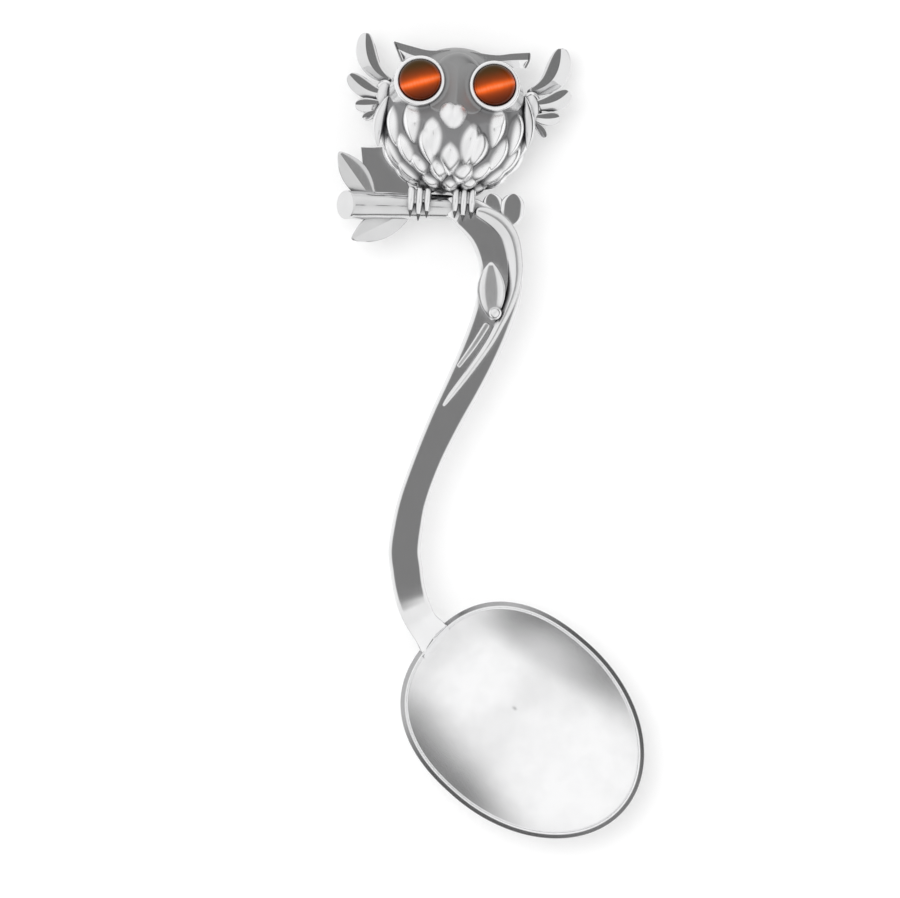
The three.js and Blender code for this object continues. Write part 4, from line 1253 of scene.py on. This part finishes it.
class SPOON_OT_owl_body(bpy.types.Operator):
    """Make the owl's body with its coat of breast feathers"""

    bl_idname = "spoon.owl_body"
    bl_label = "Owl body"
    bl_options = {"REGISTER", "UNDO"}

    def execute(self, context):
        finish = piece_finish("coat")
        owl = settings().owl
        half = owl_half()
        table = self.feathers()
        seeds = bpy.data.meshes.new("feather_seeds")
        seeds.from_pydata([(0, 0, 0)] * len(table), [], [])
        for name, column in zip(("latitude", "longitude", "feather_length", "feather_width"), table.T):
            point_data(seeds, name, column)
        values = {
            "Half width": half[0],
            "Half height": half[1],
            "Half depth": half[2],
            "Rise": owl.feather_rise,
            "Crown": owl.feather_crown,
            "Finish": finish,
        }
        holder = held("coat", tidied(grown(seeds, feather_coat_tree(), values), ("proud",)))
        add_polish(holder, 8)
        mesh = plain_mesh(holder)
        mesh.transform(owl_matrix())
        for vertex in mesh.vertices:
            vertex.co.z = max(vertex.co.z, 0.0)
        dished(mesh, BODY_DISH * MM)
        set_piece(mesh, finish, "owl_body")
        return {"FINISHED"}

    @staticmethod
    def feathers():
        """Latitude, longitude, length and width of each feather, a little uneven."""
        rows = []
        for latitude, drop, count, first, long, wide in FEATHER_ROWS:
            for k in range(count):
                aside = math.remainder(2 * math.pi * (k + first) / count, 2 * math.pi)
                start = latitude
                if abs(aside) < FRONT_ANGLE:
                    start -= drop
                    if abs(aside) > MIDDLE_ANGLE:
                        aside += math.copysign(PARTING, aside)
                rows.append((math.radians(start), aside, long * MM, wide * MM))
        uneven = np.random.default_rng(4)
        table = np.array(rows) * uneven.normal(1, 0.05, (len(rows), 4)).clip(0.88, 1.12) ** [0, 0, 1, 1]
        table[:, :2] += uneven.normal(0, 0.02, (len(rows), 2))
        return table


class SPOON_OT_owl_head(bpy.types.Operator):
    """Make the owl's crown with its ear tufts and brow, and the beak"""

    bl_idname = "spoon.owl_head"
    bl_label = "Owl head"
    bl_options = {"REGISTER", "UNDO"}

    def execute(self, context):
        place = owl_matrix()
        # The crown's silver is darkened to grey: painted shade
        shaded = piece_finish("crown")
        crown = self.crown()
        crown.transform(place)
        dished(crown, CROWN_DISH * MM)
        set_piece(crown, shaded, "owl_crown")
        bright = piece_finish()
        middle = Matrix.Translation(place.translation)
        for side in SIDES:
            tuft = lofted([self.tuft_ring(row) for row in smooth_course(TUFTS[side], 30)])
            mesh = joined([tuft, self.brim(TUFTS[side][-1], bright)])
            set_piece(mesh, bright, "owl_crown", side + "_ear_tuft", middle, crease=16)
        matt = piece_finish("beak")
        set_piece(self.beak(matt), matt, "beak", place=place)
        return {"FINISHED"}

    @staticmethod
    def crown():
        """The cap of the head cast together with the brow between the eyes."""
        half = owl_half()
        lift = CAP_LIFT * MM
        aside, over, behind = np.array(CAP_MARGINS) * MM
        cap = ellipsoid((0, lift, 0), (half[0] - aside, half[1] - lift + over, half[2] - behind), 48)
        brow = ellipsoid(on_owl(BROW), np.array(BROW_RADII) * MM)
        return cast_together([cap, brow], 0.00014, 30)

    @staticmethod
    def tuft_ring(row):
        """A section of a tuft: level from its upper edge to its ridge, then falling to its lower edge."""
        upper, ridge, lower = np.reshape(row, (3, 2))
        fall = TUFT_SLOPE * np.linalg.norm(ridge - lower)
        tops = [(*upper, TUFT_HEIGHT), (*ridge, TUFT_HEIGHT), (*lower, TUFT_HEIGHT - fall)]
        below = [(*(0.9 * near + 0.1 * far), TUFT_FOOT) for near, far in ((lower, upper), (upper, lower))]
        return np.array(tops + below) * MM

    @staticmethod
    def brim(row, finish, steps=40):
        """A standing strand along the end of a tuft."""
        end = [(*spot, TUFT_HEIGHT / 2) for spot in np.reshape(row, (3, 2))]
        course = smooth_course(np.array(end) * MM, steps)
        radius = rounded_ends(course, np.full(steps, BRIM_HALF * MM))
        return swept([route(course, radius, TUFT_HEIGHT / 2 * MM)], finish, 48, squareness=9)

    @staticmethod
    def beak(finish):
        """Two lobes that meet at the tip, cast together."""
        tip = on_owl(BEAK_TIP)
        width, thick, bow = np.array(BEAK_LOBE) * MM
        lobes = []
        for root in map(on_owl, BEAK_ROOTS):
            points = (root, bowed(root, tip, bow, UP), tip)
            lobes.append(blade(points, width, thick, fullest=0.4, point=0.5))
        return cast_together([swept(lobes, finish, 48)], 0.00009, 12)


class SPOON_OT_wings(bpy.types.Operator):
    """Make both wings as fans of ridged feathers with a covert feather"""

    bl_idname = "spoon.wings"
    bl_label = "Wings"
    bl_options = {"REGISTER", "UNDO"}

    def execute(self, context):
        # The wings' silver is a little darker: painted shade
        finish = piece_finish("wing")
        thick = settings().owl.wing_thick
        place = owl_matrix()
        for side, sign in SIDES.items():
            fan = [self.feather(place, row, thick) for row in WING_FEATHERS[side]]
            middle = np.mean([line["points"][8] for line in fan], axis=0)
            points = [np.array(place @ Vector(on_owl(spot))) for spot in COVERTS[side]]
            covert = blade(points, *np.array(COVERT_SIZE) * MM, facing=unit(np.array([sign, 0.0, 1.4])))
            lumps = [
                swept(fan, finish, 96, squareness=14, slope=-0.5 * sign),
                swept([covert], finish, 32),
                ellipsoid(middle, np.array(SHOULDER_RADII) * MM),
            ]
            set_piece(joined(lumps), finish, side + "_wing", crease=16)
        return {"FINISHED"}

    @staticmethod
    def feather(place, row, thick):
        """A blunt feather that lies level, so that its inner half faces straight up."""
        *spots, width = row
        return blade(level_points(place, spots), width * MM, thick, fullest=0.66, point=0.42, even=True)


class SPOON_OT_feet(bpy.types.Operator):
    """Make both feet with three toes each, curled over the branch, and their claws"""

    bl_idname = "spoon.feet"
    bl_label = "Feet"
    bl_options = {"REGISTER", "UNDO"}

    def execute(self, context):
        # The toes take a darker silver, a painted shade, with wider darkened hollows
        finish = piece_finish("foot")
        # The claws are almost black: painted shade for the dark specks at the toes' ends
        dark = piece_finish("claw")
        toe = settings().owl.toe
        spread = TOE_SPREAD * MM
        radius = settings().branch.root + TOE_GAP * MM + toe
        taper = 1 - 0.25 * np.clip(np.linspace(0, 1, 60) - 0.6, 0, 1) / 0.4
        sharpening = CLAW_RADIUS * MM * np.linspace(1, 0.15, 40)
        place = owl_matrix()
        for side, along in FOOT_PLACES.items():
            axis = np.array(place.inverted() @ perch_matrix() @ Vector((along * MM, 0, 0)))
            toes, claws = [], []
            for k, reach in enumerate(TOE_REACH):
                middle = axis + np.array([(k - 1) * spread, 0, 0])
                end = (0, -reach * MM * 0.75, radius * 0.8)
                course = smooth_course(middle + np.vstack([np.array(TOE_CURL) * radius, end]), 60)
                toes.append(route(course, rounded_ends(course, toe * taper), facing=(1, 0, 0)))
                hook = smooth_course(course[-1] + np.array(CLAW_CURVE) * MM, 40)
                claws.append(route(hook, sharpening, facing=(1, 0, 0)))
            ankle = axis + np.array([0, radius * 1.35, radius * 0.6])
            lumps = [swept(toes, finish, 24), ellipsoid(ankle, (spread + toe, 0.75 * MM, 0.75 * MM))]
            set_piece(cast_together(lumps, 0.0001, 3), finish, side + "_foot", place=place)
            set_piece(swept(claws, dark, 24), dark, side + "_foot", side + "_claws", place)
        return {"FINISHED"}


class SPOON_OT_eyes(bpy.types.Operator):
    """Make the bezel cups and the stones set in them"""

    bl_idname = "spoon.eyes"
    bl_label = "Eyes"
    bl_options = {"REGISTER", "UNDO"}

    def execute(self, context):
        sizes = settings().eyes
        finish = piece_finish("bezel")
        base = sizes.floor + sizes.gap
        top = base + sizes.lip
        cup = self.cup_profile(sizes, top)
        stone = self.stone_profile(sizes, base)
        for side, sign in SIDES.items():
            place = eye_matrix(sign)
            drift = Matrix.Identity(4)
            drift[0][2], drift[1][2] = -BEZEL_DRIFT * sign, BEZEL_DRIFT
            turned = place @ Matrix.Translation((0, 0, top)) @ drift @ Matrix.Translation((0, 0, -top))
            set_piece(lathed(cup), finish, side + "_bezel", place=turned)
            look = cat_eye("cat_eye_" + side, place @ Vector((0, 0, base)), BAND_TURN)
            set_piece(lathed(stone, 128), look, side + "_cabochon", place=place)
        return {"FINISHED"}

    @staticmethod
    def cup_profile(sizes, top):
        """Radius and height along a bezel: its foot, flared flank, rounded crest and floor."""
        recess = sizes.stone / 2 - BEZEL_LAP * MM
        lip = sizes.stone / 2 + sizes.gap + sizes.wall
        soft = (lip - recess) / 2
        wide = lip + sizes.flare
        root = -BEZEL_ROOT * MM
        rise = np.linspace(0.08, 0.95, 14)
        flank = [(lip + sizes.flare * (1 - t) ** 1.5, t * (top - soft)) for t in rise]
        bend = np.linspace(0, np.pi, 9)
        crest = [(recess + soft + soft * math.cos(a), top - soft + soft * math.sin(a)) for a in bend]
        inside = [(recess, top - 2 * soft), (recess, sizes.floor), (0, sizes.floor)]
        return [(0, root), (wide, root), (wide, 0.15 * MM), *flank, *crest, *inside]

    @staticmethod
    def stone_profile(sizes, base):
        """Radius and height along a stone: its flat base, girdle and dome."""
        radius = sizes.stone / 2
        bevel = STONE_BEVEL * MM
        girdle = base + sizes.girdle
        rise = sizes.dome - sizes.girdle
        arch = np.linspace(0, np.pi / 2, 40)
        dome = [(radius * math.cos(a), girdle + rise * math.sin(a)) for a in arch]
        return [(0, base), (radius - bevel, base), (radius, base + bevel), *dome]


class SPOON_OT_stage(bpy.types.Operator):
    """Set up the pale floor, the soft studio light and the camera"""

    bl_idname = "spoon.stage"
    bl_label = "Stage"
    bl_options = {"REGISTER", "UNDO"}

    def execute(self, context):
        sizes = settings().stage
        scene = bpy.context.scene
        scene.view_settings.view_transform = "Standard"
        self.floor(sizes)
        self.studio(scene, sizes)
        self.lamp(scene, sizes)
        self.camera(scene, sizes)
        return {"FINISHED"}

    @staticmethod
    def camera(scene, sizes):
        """A camera straight over the middle of the picture."""
        camera = bpy.data.objects.new("camera", bpy.data.cameras.new("camera"))
        scene.collection.objects.link(camera)
        across = PICTURE[0] / 2 - ORIGIN_PIXEL[0]
        up = ORIGIN_PIXEL[1] - PICTURE[1] / 2
        aim = Vector((across * sizes.pixel, up * sizes.pixel, AIM_HEIGHT))
        camera.location = aim + Vector((0, 0, sizes.distance))
        camera.data.sensor_width = SENSOR
        camera.data.lens = SENSOR * sizes.distance / (PICTURE[0] * sizes.pixel)
        camera.data.clip_end = 100
        scene.camera = camera

    @staticmethod
    def floor(sizes):
        """A round pale table that shows as white and keeps the shadow."""
        rim = circle(128) * sizes.table
        mesh = bpy.data.meshes.new("floor")
        mesh.from_pydata(rim.tolist(), [], [tuple(range(len(rim)))])
        material = bpy.data.materials.new("floor_white")
        material.use_nodes = True
        material.node_tree.nodes.clear()
        board = Board(material.node_tree)
        camera = board.add("ShaderNodeLightPath", None, None, "Is Camera Ray")
        rays = camera.socket.node.outputs
        seen = camera + Term(board, rays["Is Glossy Ray"]) + Term(board, rays["Is Transmission Ray"])
        matt = board.add("ShaderNodeBsdfDiffuse", None, {"Color": (*sizes.floor, 1)})
        white = board.add("ShaderNodeEmission", None, {"Strength": seen.math("MINIMUM", 1.0) * sizes.lift})
        surface = board.add("ShaderNodeAddShader", None, {0: matt, 1: white})
        board.add("ShaderNodeOutputMaterial", None, {0: surface})
        mesh.materials.append(material)
        held("floor", mesh)

    @staticmethod
    def studio(scene, sizes):
        """A bright tent with a gap for the camera overhead and darker sides."""
        world = bpy.data.worlds.new("studio")
        world.use_nodes = True
        world.node_tree.nodes.clear()
        board = Board(world.node_tree)
        x, y, z = board.parts(board.add("ShaderNodeTexCoord", None, None, "Generated"))
        flat = board.math("SQRT", x * x + y * y + 1e-6)
        left = (y - x) * 0.7071 / flat
        right = board.ranged(0.0 - left, 0.55, 1.0)
        low = SIDE_DARK + LEFT_GLOW * board.ranged(left, 0.05, 0.65) + RIGHT_GLOW * right
        high = sizes.overhead + OVERHEAD_GLOW * board.ranged(abs(left) * flat, 0.1, 0.6)
        bright = DARK_TO + 0.06 * board.ranged((x + 0.6 * y) / flat, 0.6, 1.1) - 0.15 * right
        sky = low + (high - low) * board.ranged(z, DARK_FROM, bright)
        outside, inside = (math.cos(sizes.gap * edge) for edge in GAP_EDGES)
        level = sky + (sizes.aperture - sky) * board.ranged(z, outside, inside)
        light = board.add("ShaderNodeBackground", None, {"Color": (1, 1, 1, 1), "Strength": level})
        board.add("ShaderNodeOutputWorld", None, {0: light})
        scene.world = world

    @staticmethod
    def lamp(scene, sizes):
        """A soft lamp high on the left, for the shadow."""
        data = bpy.data.lights.new("key_lamp", "AREA")
        data.shape = "DISK"
        data.size = LAMP_SIZE
        data.energy = sizes.key
        lamp = bpy.data.objects.new("key_lamp", data)
        target = Vector(LAMP_AIM)
        lamp.location = target + Vector(LAMP_OFFSET)
        lamp.rotation_euler = (target - lamp.location).to_track_quat("-Z", "Y").to_euler()
        lamp.visible_glossy = False
        scene.collection.objects.link(lamp)


OPERATORS = (
    SPOON_OT_bowl,
    SPOON_OT_stem,
    SPOON_OT_vine,
    SPOON_OT_stem_leaf,
    SPOON_OT_branch,
    SPOON_OT_owl_body,
    SPOON_OT_owl_head,
    SPOON_OT_wings,
    SPOON_OT_feet,
    SPOON_OT_eyes,
    SPOON_OT_stage,
)


class SPOON_PT_panel(bpy.types.Panel):
    """Lists the pieces of the spoon"""

    bl_label = "Owl spoon"
    bl_idname = "SPOON_PT_panel"
    bl_space_type = "VIEW_3D"
    bl_region_type = "UI"
    bl_category = "Owl spoon"

    def draw(self, context):
        for operator in OPERATORS:
            self.layout.operator(operator.bl_idname)


CLASSES = (*GROUPS, SpoonSettings, *OPERATORS, SPOON_PT_panel)


def register():
    for kind in CLASSES:
        bpy.utils.register_class(kind)
    bpy.types.Scene.owl_spoon = PointerProperty(type=SpoonSettings, name="Owl spoon", description="The spoon")


def unregister():
    del bpy.types.Scene.owl_spoon
    for kind in reversed(CLASSES):
        bpy.utils.unregister_class(kind)


def main():
    register()
    for operator in OPERATORS:
        group, name = operator.bl_idname.split(".")
        getattr(getattr(bpy.ops, group), name)()


if __name__ == "__main__":
    main()
